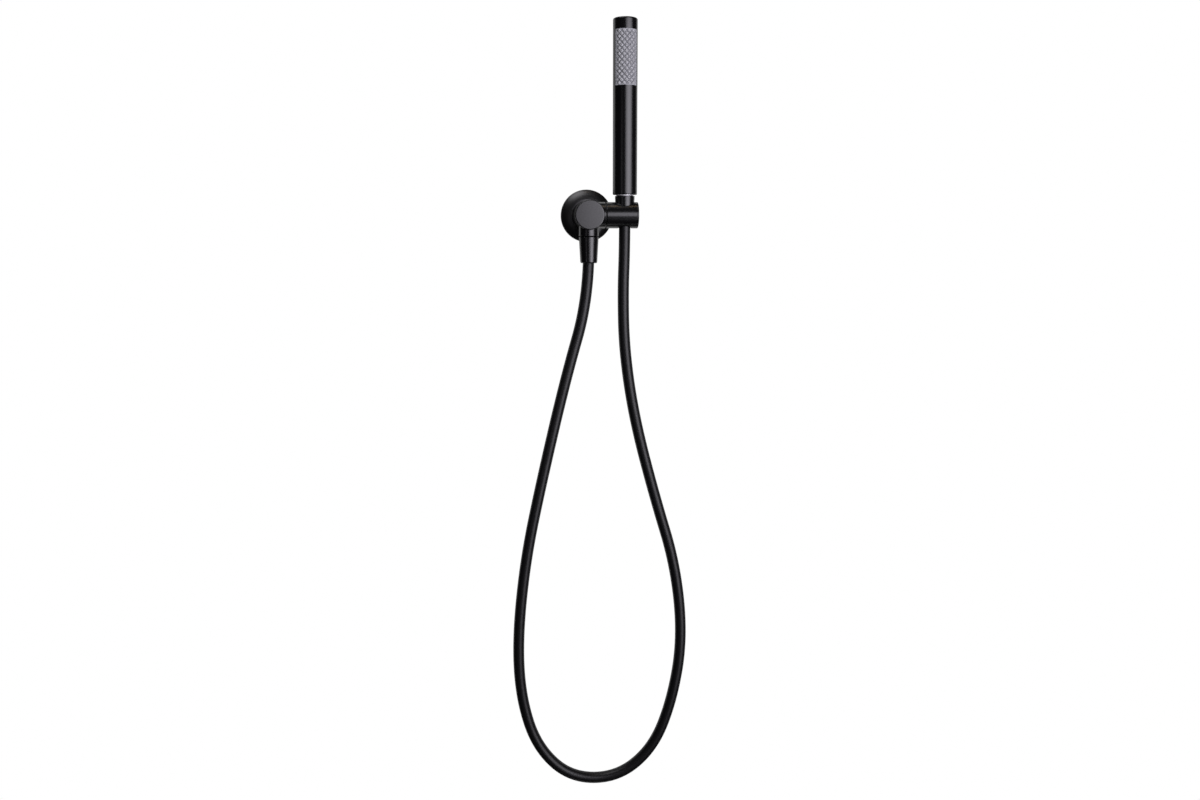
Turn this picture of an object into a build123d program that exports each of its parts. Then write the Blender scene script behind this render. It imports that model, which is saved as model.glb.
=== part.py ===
from build123d import *

import os
from math import degrees, pi, radians, tan

# Stick hand shower in the swivelling holder of a round wall outlet, with its hose.
# Millimetres. The wall is the plane y = 0, the room is on the -Y side and Z is up.
# The origin is where the axis of the water inlet crosses the wall.

# Clearances
FIT = 0.05  # between pieces that are screwed, pressed or glued together
RUNNING = 0.1  # between pieces that turn or slide on each other
SEAL_FIT = 0.03  # between a seal ring and the faces that it touches
EDGE = 0.4  # bevel of turned outer edges
CUT_MARGIN = 1.0  # how far a cutting tool runs past a face

# Threads, parallel pipe thread of half an inch and the pivot's machine thread
THREAD_D = 20.955
PIVOT_THREAD_D = 8.0

# Wall outlet
AXIS_REACH = 32.0  # wall to the plane of collar, holder, handset and hose
BODY_D = 35.5
BODY_BACK = 3.0  # wall to the rear shoulder of the body
FRONT_LIP = 1.25  # body's front face beyond the side boss
FRONT_EDGE = 1.5
INLET_LENGTH = 18.0
INLET_BORE = 13.0
INLET_CHAMFER = 1.2
BOSS_REACH = 19.8  # body's axis to the end face of the side boss
COLLAR_D = 24.0
COLLAR_DROP = 25.1  # holder's axis down to the collar's end face
OUTLET_BORE = 10.0
FLANGE_D = 64.0
FLANGE_RIM = 2.0
FLANGE_HEIGHT = 9.5
FLANGE_WALL = 2.0
FLANGE_CROWN = 1.1  # bulge of the dome over its straight slope
FLANGE_HUB_WALL = 3.6
FLANGE_HUB_BACK = 1.5
FLANGE_RING_SECTION = 1.8
FLANGE_RING_DEPTH = 5.5  # wall to the middle of the ring

# Non-return cartridge in the outlet
VALVE_D = 15.0
VALVE_LENGTH = 13.0
VALVE_TOP = 2.4
VALVE_END = 1.8
VALVE_SEAT_D = 8.0
VALVE_CHAMBER_D = 12.0
VALVE_RING_SECTION = 1.2
POPPET_D = 10.0
POPPET_HEAD = 1.6
POPPET_STEM_D = 2.8
VALVE_GUIDE_WALL = 1.2
VALVE_RIB = 1.4
SPRING_WIRE = 0.6
SPRING_D = 6.4
SPRING_TURNS = 3

# Holder and its swivel
HOLDER_D = 31.5
FRICTION_WASHER_D = 26.0
FRICTION_WASHER_T = 1.4
HOLDER_WEB = 6.8
SPRING_WASHER_T = 0.8
SCREW_HEAD_D = 14.0
SCREW_HEAD_T = 3.0
SCREW_HEAD_SINK = 1.3  # head below the wall of the socket
SCREW_SIDE = 0.4  # room around the head
SCREW_KEY = 5.0
SCREW_KEY_DEPTH = 2.0
SHOULDER_D = 10.0
PIVOT_THREAD_LENGTH = 9.0
PIVOT_HOLE_EXTRA = 1.0
HOLDER_FAR_WALL = 2.7
CAP_T = 2.2
CAP_EDGE = 0.8
CAP_PLUG_SHORT = 0.7
CAP_LINE = 0.25  # bevel that shows as the line between holder and cap
SLOT_SIDE = 0.75  # room beside the hose in the slot
HOSE_HOLE_SIDE = 1.6  # room around the hose under the nut
LEDGE_GAP = 0.1

# Hose nuts and end fittings
NUT_TOP_D = 24.0
NUT_END_D = 20.5
NUT_LENGTH = 31.4
NUT_GAP = 1.1  # thread line that shows above a nut
NUT_SHOULDER = 10.5  # nut's top face down to its inner shoulder
NUT_STAND = 7.0  # nut's top face above the holder
WASHER_T = 2.0
WASHER_BORE = 11.0
TAIL_FLANGE_T = 1.6
TAIL_BORE = 5.5
TAIL_SHORT = 1.5  # tail's end above the nut's lower face
FERRULE_WALL = 1.2
FERRULE_LIP = 1.0
FERRULE_DROP = 0.8  # below the shoulder or the bush
BUSH_SLEEVE = 6.5
NOSE_D = 10.0
NOSE_HEAD_D = 12.0
NOSE_HEAD_T = 1.1
SWIVEL_RING_SECTION = 1.3
SWIVEL_RING_DEPTH = 3.2  # below the shoulder

# Hose
HOSE_D = 14.0
HOSE_BORE = 8.0
ARC_SHARE = 0.45
# The hanging loop from the outlet to the handset, across and up, without its two ends
HOSE_LOOP = [
    (-29, -199), (-60, -330), (-81, -430), (-92, -535), (-88, -614), (-68, -680), (-25, -724),
    (36, -727), (83, -689), (108, -624), (121, -540), (111, -442), (83, -350), (57, -251),
    (44, -166), (42, -95),
]  # fmt: skip
OUTLET_STRAIGHT = -99.0  # lower end of the straight stretch under the outlet
HANDSET_STRAIGHT = -39.0  # lower end of the straight stretch under the holder

# Handset
STICK_D = 29.4
STICK_LENGTH = 205.1
STICK_WALL = 1.8
STICK_TOP = 2.5
STICK_TOP_EDGE = 1.8
STICK_END_EDGE = 1.2
NECK_SHOW = 1.6  # bright neck between nut and stick
PLUG_RECESS = 0.8
PLUG_LENGTH = 14.0
PLUG_RING_SECTION = 1.6
NECK_BORE = 9.0
REGULATOR_D = 14.8
REGULATOR_T = 4.0
REGULATOR_HOLE_D = 1.6
REGULATOR_HOLES = 3
WATER_TUBE_D = 14.0
WATER_TUBE_BORE = 10.0
WATER_TUBE_SOCKET = 6.0
WATER_RING_SECTION = 1.5
WINDOW_TOP_GAP = 13.5
WINDOW_HEIGHT = 64.5
WINDOW_HALF_ANGLE = 61.0
WINDOW_CORNER = 1.6
FACE_GAP = 0.1
FACE_RECESS = 0.2
CARRIER_END = 4.5
CARRIER_WALL = 2.2
NOZZLE_COLUMNS = 7
NOZZLE_COLUMN_ANGLE = 12.4
NOZZLE_ROWS = 10
NOZZLE_ROW_PITCH = 6.6
NOZZLE_BASE_D = 3.4
NOZZLE_TIP_D = 2.3
NOZZLE_HEIGHT = 0.8
NOZZLE_HOLE_D = 0.9
NOZZLE_SIDES = 6
JET_SIDES = 4
FEED_SLOT = 1.4

# Places that follow from the sizes
AXIS_Y = -AXIS_REACH
BODY_REACH = AXIS_REACH + HOLDER_D / 2 + FRONT_LIP
NUT_BORE_D = THREAD_D + 2 * FIT
THREAD_DEPTH = NUT_SHOULDER - TAIL_FLANGE_T - WASHER_T  # nut's top face to the end of the thread in it
FERRULE_D = HOSE_D + 2 * (FIT + FERRULE_WALL)
NUT_SLEEVE_D = FERRULE_D + 2 * RUNNING
TAIL_FLANGE_D = NUT_BORE_D - 2 * RUNNING
STEM_D = HOSE_BORE - 2 * FIT
OUTLET_NUT_TOP = -COLLAR_DROP - NUT_GAP
OUTLET_THREAD_END = OUTLET_NUT_TOP - THREAD_DEPTH
HANDSET_NUT_TOP = HOLDER_D / 2 + NUT_STAND
HANDSET_THREAD_END = HANDSET_NUT_TOP - THREAD_DEPTH
STICK_END_Z = HANDSET_NUT_TOP + NECK_SHOW
STICK_TOP_Z = STICK_END_Z + STICK_LENGTH
STICK_BORE_D = STICK_D - 2 * STICK_WALL
WINDOW_TOP_Z = STICK_TOP_Z - WINDOW_TOP_GAP
WINDOW_END_Z = WINDOW_TOP_Z - WINDOW_HEIGHT
PLUG_END_Z = STICK_END_Z + PLUG_RECESS
PLUG_TOP_Z = PLUG_END_Z + PLUG_LENGTH
CARRIER_END_Z = WINDOW_END_Z - CARRIER_END
CARRIER_TOP_Z = WINDOW_TOP_Z + CARRIER_END
CHAMBER_END_Z = WINDOW_END_Z - FEED_SLOT / 2
CHAMBER_TOP_Z = WINDOW_TOP_Z + FEED_SLOT / 2
WATER_TUBE_END_Z = PLUG_TOP_Z - WATER_TUBE_SOCKET
OUTLET_FERRULE_TOP = NUT_SHOULDER + FERRULE_DROP
HANDSET_FERRULE_TOP = NUT_SHOULDER + BUSH_SLEEVE + FERRULE_DROP
OUTLET_HOSE_TOP = OUTLET_NUT_TOP - OUTLET_FERRULE_TOP - FERRULE_LIP
HANDSET_HOSE_TOP = HANDSET_NUT_TOP - HANDSET_FERRULE_TOP - FERRULE_LIP
VALVE_TOP_Z = OUTLET_THREAD_END + VALVE_LENGTH
VALVE_SEAT_Z = VALVE_TOP_Z - VALVE_TOP


def nut_radius(depth):
    """Outside radius of a hose nut at a depth below its top face."""
    return (NUT_TOP_D - (NUT_TOP_D - NUT_END_D) * depth / NUT_LENGTH) / 2


def socket_radius(height):
    """Radius of the holder's tapered socket at a height above the holder's axis."""
    return nut_radius(HANDSET_NUT_TOP - height) + RUNNING


HOLDER_START = BOSS_REACH + FRICTION_WASHER_T
HOLDER_WEB_END = HOLDER_START + HOLDER_WEB
SCREW_HEAD_START = HOLDER_WEB_END + SPRING_WASHER_T
HANDSET_X = SCREW_HEAD_START + SCREW_HEAD_T + SCREW_HEAD_SINK + socket_radius(0)
HOLDER_END = HANDSET_X + socket_radius(0) + HOLDER_FAR_WALL
SCREW_PASSAGE_D = SCREW_HEAD_D + 2 * SCREW_SIDE

# Directions: a turned piece is drawn about Z and then laid along its own axis
UP = (Align.CENTER, Align.CENTER, Align.MIN)
FROM_WALL = Rot(90, 0, 0)  # heights become distances from the wall
ALONG_HOLDER = Pos(0, AXIS_Y, 0) * Rot(0, 90, 0)  # heights become distances along X
AT_OUTLET = Pos(0, AXIS_Y, 0)
AT_HANDSET = Pos(HANDSET_X, AXIS_Y, 0)
SPRAY_WAY = -90.0  # angle about Z at which the spray face looks away from the wall


def turned(*corners, rounded=False):
    """Solid of revolution about Z.

    A corner is (radius, height), or (radius, height, edge) where the edge is bevelled or rounded by that much.
    """
    points = [corner[:2] for corner in corners]
    edges = [corner[2] if len(corner) > 2 else 0 for corner in corners]
    profile = make_face(Polyline(*points, close=True))
    for point, edge in zip(points, edges):
        if edge:
            corner = profile.vertices().sort_by_distance(point)[0]
            profile = fillet(corner, edge) if rounded else chamfer(corner, edge)
    return revolve(Plane.XZ * profile, Axis.Z)


def rod(diameter, start, end):
    """Plain cylinder about Z."""
    return Pos(0, 0, start) * Cylinder(diameter / 2, end - start, align=UP)


def ring(outer_d, inner_d, start, end):
    """Flat ring or sleeve about Z."""
    return turned((inner_d / 2, start), (outer_d / 2, start), (outer_d / 2, end), (inner_d / 2, end))


def seal_ring(inner_d, section, height):
    """Seal ring of square section that fits over a diameter."""
    inside_d = inner_d + 2 * SEAL_FIT
    return ring(inside_d + 2 * section, inside_d, height - section / 2, height + section / 2)


def seal_groove_in_bore(bore_d, section, height):
    """Cutter for the groove of a seal ring in the wall of a bore."""
    half = section / 2 + RUNNING
    outer_d = bore_d - 2 * FIT + 2 * (section + 2 * SEAL_FIT)
    return ring(outer_d, bore_d - CUT_MARGIN, height - half, height + half)


def seal_groove_on_rod(rod_d, section, height):
    """Cutter for the groove of a seal ring around a rod that runs in a bore of the same size."""
    half = section / 2 + RUNNING
    return ring(rod_d + CUT_MARGIN, groove_floor(rod_d, section), height - half, height + half)


def groove_floor(rod_d, section):
    """Diameter at the floor of a rod's seal groove."""
    return rod_d - 2 * (section + SEAL_FIT)


def around(count, radius, piece):
    """Copies of a piece evenly spaced on a circle about Z."""
    return [Rot(0, 0, 360 * index / count) * Pos(radius, 0, 0) * piece for index in range(count)]


# Wall outlet


def wall_flange():
    """Domed cover plate with a hub that slides over the body."""
    bore = BODY_D / 2 + RUNNING
    hub = bore + FLANGE_HUB_WALL
    rim = FLANGE_D / 2
    crown_start = bore + FLANGE_WALL
    dome = SagittaArc((rim, FLANGE_RIM), (crown_start, FLANGE_HEIGHT), -FLANGE_CROWN)
    inside = Polyline(
        (crown_start, FLANGE_HEIGHT),
        (bore, FLANGE_HEIGHT),
        (bore, FLANGE_HUB_BACK),
        (hub, FLANGE_HUB_BACK),
        (hub, FLANGE_HEIGHT - 2 * FLANGE_WALL),
        (rim - FLANGE_WALL, FLANGE_RIM / 2),
        (rim - FLANGE_WALL, 0),
        (rim, 0),
        (rim, FLANGE_RIM),
    )
    cover = revolve(Plane.XZ * make_face(dome + inside), Axis.Z)
    cover -= seal_groove_in_bore(2 * bore, FLANGE_RING_SECTION + 2 * (RUNNING - FIT), FLANGE_RING_DEPTH)
    return FROM_WALL * cover


def flange_seal():
    """Ring that grips the flange on the body."""
    return FROM_WALL * seal_ring(BODY_D, FLANGE_RING_SECTION, FLANGE_RING_DEPTH)


def outlet_body():
    """Body with inlet spigot, side boss, collar and outlet thread, cross-drilled for the water."""
    barrel = turned(
        (0, -INLET_LENGTH),
        (THREAD_D / 2 - INLET_CHAMFER, -INLET_LENGTH),
        (THREAD_D / 2, -INLET_LENGTH + INLET_CHAMFER),
        (THREAD_D / 2, BODY_BACK),
        (BODY_D / 2, BODY_BACK),
        (BODY_D / 2, BODY_REACH, FRONT_EDGE),
        (0, BODY_REACH),
        rounded=True,
    )
    boss = turned((0, 0), (HOLDER_D / 2, 0), (HOLDER_D / 2, BOSS_REACH, EDGE), (0, BOSS_REACH))
    collar = turned(
        (0, 0),
        (0, OUTLET_THREAD_END),
        (THREAD_D / 2, OUTLET_THREAD_END),
        (THREAD_D / 2, -COLLAR_DROP),
        (COLLAR_D / 2, -COLLAR_DROP, EDGE),
        (COLLAR_D / 2, 0),
    )
    body = FROM_WALL * barrel + ALONG_HOLDER * boss + AT_OUTLET * collar
    inlet_bore = rod(INLET_BORE, -INLET_LENGTH - CUT_MARGIN, AXIS_REACH + OUTLET_BORE / 2)
    outlet_bore = rod(OUTLET_BORE, OUTLET_THREAD_END - CUT_MARGIN, 0)
    valve_bore = rod(VALVE_D + 2 * FIT, OUTLET_THREAD_END - CUT_MARGIN, VALVE_TOP_Z)
    pivot_start = BOSS_REACH - PIVOT_THREAD_LENGTH - PIVOT_HOLE_EXTRA
    pivot_hole = rod(PIVOT_THREAD_D + 2 * FIT, pivot_start, BOSS_REACH + CUT_MARGIN)
    body -= FROM_WALL * inlet_bore
    body -= AT_OUTLET * (outlet_bore + valve_bore)
    body -= ALONG_HOLDER * pivot_hole
    return body


def valve_cage():
    """Sleeve of the non-return cartridge, with its seat above and a guide below."""
    floor = OUTLET_THREAD_END + VALVE_END
    cage = rod(VALVE_D, OUTLET_THREAD_END, VALVE_TOP_Z)
    cage -= rod(VALVE_SEAT_D, VALVE_SEAT_Z - CUT_MARGIN, VALVE_TOP_Z + CUT_MARGIN)
    cage -= rod(VALVE_CHAMBER_D, floor, VALVE_SEAT_Z)
    cage -= rod(POPPET_STEM_D + 2 * RUNNING, OUTLET_THREAD_END - CUT_MARGIN, floor)
    guide_d = POPPET_STEM_D + 2 * VALVE_GUIDE_WALL
    openings = ring(VALVE_CHAMBER_D, guide_d, OUTLET_THREAD_END - CUT_MARGIN, floor)
    for angle in (0, 90):
        openings -= Rot(0, 0, angle) * Pos(0, 0, floor) * Box(VALVE_D, VALVE_RIB, 2 * VALVE_LENGTH)
    cage -= openings
    cage -= seal_groove_on_rod(VALVE_D, VALVE_RING_SECTION, VALVE_TOP_Z - VALVE_TOP / 2)
    return AT_OUTLET * cage


def valve_seal():
    """Seal of the cartridge in the outlet."""
    inner_d = groove_floor(VALVE_D, VALVE_RING_SECTION)
    return AT_OUTLET * seal_ring(inner_d, VALVE_RING_SECTION, VALVE_TOP_Z - VALVE_TOP / 2)


def valve_poppet():
    """Disc and stem that the spring holds up against the seat."""
    head_top = VALVE_SEAT_Z - FIT
    poppet = turned(
        (0, OUTLET_THREAD_END),
        (POPPET_STEM_D / 2, OUTLET_THREAD_END),
        (POPPET_STEM_D / 2, head_top - POPPET_HEAD),
        (POPPET_D / 2, head_top - POPPET_HEAD),
        (POPPET_D / 2, head_top),
        (0, head_top),
    )
    return AT_OUTLET * poppet


def valve_spring():
    """Closing spring between the cage's floor and the poppet's head."""
    start = OUTLET_THREAD_END + VALVE_END + SPRING_WIRE / 2 + FIT
    end = VALVE_SEAT_Z - FIT - POPPET_HEAD - SPRING_WIRE / 2 - FIT
    coil = Helix((end - start) / SPRING_TURNS, end - start, SPRING_D / 2)
    wire = Plane(origin=coil @ 0, z_dir=coil % 0) * Rectangle(SPRING_WIRE, SPRING_WIRE)
    return AT_OUTLET * Pos(0, 0, start) * sweep(wire, path=coil, is_frenet=True)


# Holder and its swivel


def friction_washer():
    """Ring in the groove between boss and holder."""
    return ALONG_HOLDER * ring(FRICTION_WASHER_D, SHOULDER_D + 2 * RUNNING, BOSS_REACH, HOLDER_START)


def spring_washer():
    """Ring under the pivot screw's head that keeps the swivel stiff."""
    return ALONG_HOLDER * ring(SCREW_HEAD_D, SHOULDER_D + 2 * RUNNING, HOLDER_WEB_END, SCREW_HEAD_START)


def pivot_screw():
    """Shoulder screw that the holder turns on."""
    head_end = SCREW_HEAD_START + SCREW_HEAD_T
    screw = turned(
        (0, BOSS_REACH - PIVOT_THREAD_LENGTH),
        (PIVOT_THREAD_D / 2, BOSS_REACH - PIVOT_THREAD_LENGTH),
        (PIVOT_THREAD_D / 2, BOSS_REACH),
        (SHOULDER_D / 2, BOSS_REACH),
        (SHOULDER_D / 2, SCREW_HEAD_START),
        (SCREW_HEAD_D / 2, SCREW_HEAD_START),
        (SCREW_HEAD_D / 2, head_end, EDGE),
        (0, head_end),
    )
    key = extrude(RegularPolygon(SCREW_KEY / 2, 6, major_radius=False), SCREW_KEY_DEPTH)
    screw -= Pos(0, 0, head_end - SCREW_KEY_DEPTH) * key
    return ALONG_HOLDER * screw


def holder():
    """Cross cylinder with the tapered socket, the hose slot behind it and the pivot passage."""
    barrel = turned(
        (0, HOLDER_START),
        (HOLDER_D / 2, HOLDER_START, EDGE),
        (HOLDER_D / 2, HOLDER_END, CAP_LINE),
        (0, HOLDER_END),
    )
    top = HOLDER_D / 2 + CUT_MARGIN
    ledge = HANDSET_NUT_TOP - NUT_LENGTH - LEDGE_GAP
    hose_hole = HOSE_D / 2 + HOSE_HOLE_SIDE
    socket = turned(
        (0, top),
        (socket_radius(top), top),
        (socket_radius(ledge), ledge),
        (hose_hole, ledge),
        (hose_hole, -top),
        (0, -top),
    )
    behind = (Align.CENTER, Align.MIN, Align.CENTER)
    slot = Box(HOSE_D + 2 * SLOT_SIDE, HOLDER_D, 2 * top, align=behind)
    pivot = rod(SHOULDER_D + 2 * RUNNING, HOLDER_START - CUT_MARGIN, HANDSET_X)
    passage = rod(SCREW_PASSAGE_D, HOLDER_WEB_END, HOLDER_END + CUT_MARGIN)
    return ALONG_HOLDER * (barrel - pivot - passage) - AT_HANDSET * socket - AT_HANDSET * slot


def holder_end_cap():
    """Cap pressed into the screw's passage."""
    plug_start = HOLDER_END - HOLDER_FAR_WALL + CAP_PLUG_SHORT
    plug = SCREW_PASSAGE_D / 2 - FIT
    cap = turned(
        (0, plug_start),
        (plug, plug_start),
        (plug, HOLDER_END),
        (HOLDER_D / 2, HOLDER_END, CAP_LINE),
        (HOLDER_D / 2, HOLDER_END + CAP_T, CAP_EDGE),
        (0, HOLDER_END + CAP_T),
    )
    return ALONG_HOLDER * cap


# Hose and its fittings, drawn downwards from the top face of a nut


def hose_nut():
    """Conical nut of the hose."""
    return turned(
        (NUT_BORE_D / 2, 0),
        (NUT_TOP_D / 2, 0, EDGE),
        (NUT_END_D / 2, -NUT_LENGTH, EDGE),
        (NUT_SLEEVE_D / 2, -NUT_LENGTH),
        (NUT_SLEEVE_D / 2, -NUT_SHOULDER),
        (NUT_BORE_D / 2, -NUT_SHOULDER),
    )


def nut_washer():
    """Flat seal between a thread's end and the fitting in the nut."""
    return ring(TAIL_FLANGE_D, WASHER_BORE, -THREAD_DEPTH - WASHER_T, -THREAD_DEPTH)


def flanged_tail():
    """Hose tail whose flange is clamped in the nut."""
    return turned(
        (TAIL_BORE / 2, TAIL_FLANGE_T - NUT_SHOULDER),
        (TAIL_FLANGE_D / 2, TAIL_FLANGE_T - NUT_SHOULDER),
        (TAIL_FLANGE_D / 2, -NUT_SHOULDER),
        (STEM_D / 2, -NUT_SHOULDER),
        (STEM_D / 2, TAIL_SHORT - NUT_LENGTH),
        (TAIL_BORE / 2, TAIL_SHORT - NUT_LENGTH),
    )


def swivel_bush():
    """Bush clamped in the nut, in which the swivelling tail turns."""
    sleeve_end = -NUT_SHOULDER - BUSH_SLEEVE
    top = TAIL_FLANGE_T - NUT_SHOULDER
    pocket = top - NOSE_HEAD_T - 2 * RUNNING
    return turned(
        (NOSE_HEAD_D / 2 + RUNNING, top),
        (TAIL_FLANGE_D / 2, top),
        (TAIL_FLANGE_D / 2, -NUT_SHOULDER),
        (FERRULE_D / 2, -NUT_SHOULDER),
        (FERRULE_D / 2, sleeve_end),
        (NOSE_D / 2 + RUNNING, sleeve_end),
        (NOSE_D / 2 + RUNNING, pocket),
        (NOSE_HEAD_D / 2 + RUNNING, pocket),
    )


def swivel_tail():
    """Hose tail with a round nose that turns in the bush."""
    top = TAIL_FLANGE_T - NUT_SHOULDER - RUNNING
    nose_end = -HANDSET_FERRULE_TOP
    tail = turned(
        (TAIL_BORE / 2, top),
        (NOSE_HEAD_D / 2, top),
        (NOSE_HEAD_D / 2, top - NOSE_HEAD_T),
        (NOSE_D / 2, top - NOSE_HEAD_T),
        (NOSE_D / 2, nose_end),
        (STEM_D / 2, nose_end),
        (STEM_D / 2, TAIL_SHORT - NUT_LENGTH),
        (TAIL_BORE / 2, TAIL_SHORT - NUT_LENGTH),
    )
    return tail - seal_groove_on_rod(NOSE_D, SWIVEL_RING_SECTION, -NUT_SHOULDER - SWIVEL_RING_DEPTH)


def swivel_seal():
    """Seal of the nose in the bush."""
    inner_d = groove_floor(NOSE_D, SWIVEL_RING_SECTION)
    return seal_ring(inner_d, SWIVEL_RING_SECTION, -NUT_SHOULDER - SWIVEL_RING_DEPTH)


def ferrule(top):
    """Sleeve crimped over the end of the hose, starting at a depth below the nut's top face."""
    return turned(
        (STEM_D / 2 + FIT, -top),
        (FERRULE_D / 2, -top),
        (FERRULE_D / 2, TAIL_SHORT - NUT_LENGTH),
        (HOSE_D / 2 + FIT, TAIL_SHORT - NUT_LENGTH),
        (HOSE_D / 2 + FIT, -top - FERRULE_LIP),
        (STEM_D / 2 + FIT, -top - FERRULE_LIP),
    )


def hose():
    """Hose, full of water, along straight runs and arcs as large as the runs allow."""
    route = [(0, OUTLET_HOSE_TOP), (0, OUTLET_STRAIGHT)]
    route += HOSE_LOOP
    route += [(HANDSET_X, HANDSET_STRAIGHT), (HANDSET_X, HANDSET_HOSE_TOP)]
    points = [Vector(across, AXIS_Y, up) for across, up in route]
    radii = []
    for before, corner, after in zip(points, points[1:], points[2:]):
        turn = radians((corner - before).get_angle(after - corner))
        shorter = min((corner - before).length, (after - corner).length)
        radii.append(ARC_SHARE * shorter / tan(turn / 2))
    path = FilletPolyline(*points, radius=radii)
    tube = sweep(Plane(origin=path @ 0, z_dir=path % 0) * Circle(HOSE_D / 2), path=path)
    expected = pi / 4 * HOSE_D**2 * path.length
    print("hose arc radii", [round(radius) for radius in radii])
    print("hose length", round(path.length, 1), "volume over section times length", tube.volume / expected)
    for place, top, nut_top in (
        (AT_OUTLET, OUTLET_HOSE_TOP, OUTLET_NUT_TOP),
        (AT_HANDSET, HANDSET_HOSE_TOP, HANDSET_NUT_TOP),
    ):
        tube -= place * rod(HOSE_BORE, nut_top - NUT_LENGTH, top + CUT_MARGIN)
    return tube


# Handset


def spray_sector(inner, outer, margin, corner):
    """Curved block behind the spray window, smaller than the window by a margin, corners rounded."""
    half_angle = WINDOW_HALF_ANGLE - degrees(margin / (STICK_D / 2))
    low = WINDOW_END_Z + margin
    high = WINDOW_TOP_Z - margin
    section = make_face(Polyline((inner, low), (outer, low), (outer, high), (inner, high), close=True))
    block = revolve(Plane.XZ * section, Axis.Z, revolution_arc=2 * half_angle)
    corners = block.edges().filter_by(GeomType.LINE).filter_by(lambda edge: edge.length < high - low - margin)
    return Rot(0, 0, SPRAY_WAY - half_angle) * fillet(corners, corner)


def handset_tube():
    """Stick, closed at the top, with the window for the spray face."""
    bore = STICK_BORE_D / 2
    stick = turned(
        (bore, STICK_END_Z),
        (STICK_D / 2, STICK_END_Z, STICK_END_EDGE),
        (STICK_D / 2, STICK_TOP_Z, STICK_TOP_EDGE),
        (0, STICK_TOP_Z),
        (0, STICK_TOP_Z - STICK_TOP),
        (bore, STICK_TOP_Z - STICK_TOP),
        rounded=True,
    )
    window = spray_sector(bore - CUT_MARGIN, STICK_D / 2 + CUT_MARGIN, 0, WINDOW_CORNER)
    return AT_HANDSET * (stick - window)


def nozzle_places():
    """Angle about Z and height of each nozzle: columns staggered by half a row."""
    middle = (WINDOW_END_Z + WINDOW_TOP_Z) / 2
    places = []
    for column in range(NOZZLE_COLUMNS):
        angle = SPRAY_WAY + (column - (NOZZLE_COLUMNS - 1) / 2) * NOZZLE_COLUMN_ANGLE
        rows = NOZZLE_ROWS - column % 2
        for row in range(rows):
            places.append((angle, middle + (row - (rows - 1) / 2) * NOZZLE_ROW_PITCH))
    return places


def spray_face():
    """Silicone panel in the window, with a drilled nub for each jet."""
    front = STICK_D / 2 - FACE_RECESS
    back = STICK_BORE_D / 2 + FIT
    panel = spray_sector(back, front, FACE_GAP, WINDOW_CORNER - FACE_GAP)
    root = front - NOZZLE_BASE_D / 8
    tip = front + NOZZLE_HEIGHT
    outwards = Plane(origin=(root, 0, 0), x_dir=(0, 1, 0), z_dir=(1, 0, 0))
    base = outwards * RegularPolygon(NOZZLE_BASE_D / 2, NOZZLE_SIDES)
    point = outwards.offset(tip - root) * RegularPolygon(NOZZLE_TIP_D / 2, NOZZLE_SIDES)
    nub = loft([base, point])
    drill_plane = outwards.offset(back - root - CUT_MARGIN)
    jet = extrude(drill_plane * RegularPolygon(NOZZLE_HOLE_D / 2, JET_SIDES), tip - back + 2 * CUT_MARGIN)
    places = [Rot(0, 0, angle) * Pos(0, 0, height) for angle, height in nozzle_places()]
    panel += [place * nub for place in places]
    panel -= [place * jet for place in places]
    return AT_HANDSET * panel


def spray_carrier():
    """Hollow holder behind the silicone, with a feed slot for each column of nozzles."""
    outside_d = STICK_BORE_D - 2 * FIT
    chamber_d = outside_d - 2 * CARRIER_WALL
    carrier = rod(outside_d, CARRIER_END_Z, CARRIER_TOP_Z)
    carrier -= rod(chamber_d, CHAMBER_END_Z, CHAMBER_TOP_Z)
    carrier -= rod(WATER_TUBE_D + 2 * FIT, CARRIER_END_Z - CUT_MARGIN, CHAMBER_END_Z)
    ring_height = (CARRIER_END_Z + CHAMBER_END_Z) / 2
    carrier -= seal_groove_in_bore(WATER_TUBE_D + 2 * FIT, WATER_RING_SECTION, ring_height)
    slot_height = (NOZZLE_ROWS - 1) * NOZZLE_ROW_PITCH + FEED_SLOT
    slot = Box(2 * CARRIER_WALL, FEED_SLOT, slot_height)
    middle = (WINDOW_END_Z + WINDOW_TOP_Z) / 2
    for angle in sorted({angle for angle, _ in nozzle_places()}):
        carrier -= Rot(0, 0, angle) * Pos(outside_d / 2, 0, middle) * slot
    return AT_HANDSET * carrier


def water_tube():
    """Inner tube from the connector to the carrier."""
    return AT_HANDSET * ring(WATER_TUBE_D, WATER_TUBE_BORE, WATER_TUBE_END_Z, CHAMBER_END_Z)


def water_tube_seals():
    """Seals at both ends of the water tube."""
    upper = seal_ring(WATER_TUBE_D, WATER_RING_SECTION, (CARRIER_END_Z + CHAMBER_END_Z) / 2)
    lower = seal_ring(WATER_TUBE_D, WATER_RING_SECTION, PLUG_TOP_Z - WATER_TUBE_SOCKET / 2)
    return AT_HANDSET * Compound(children=[Solid(upper.solid().wrapped), Solid(lower.solid().wrapped)])


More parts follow.
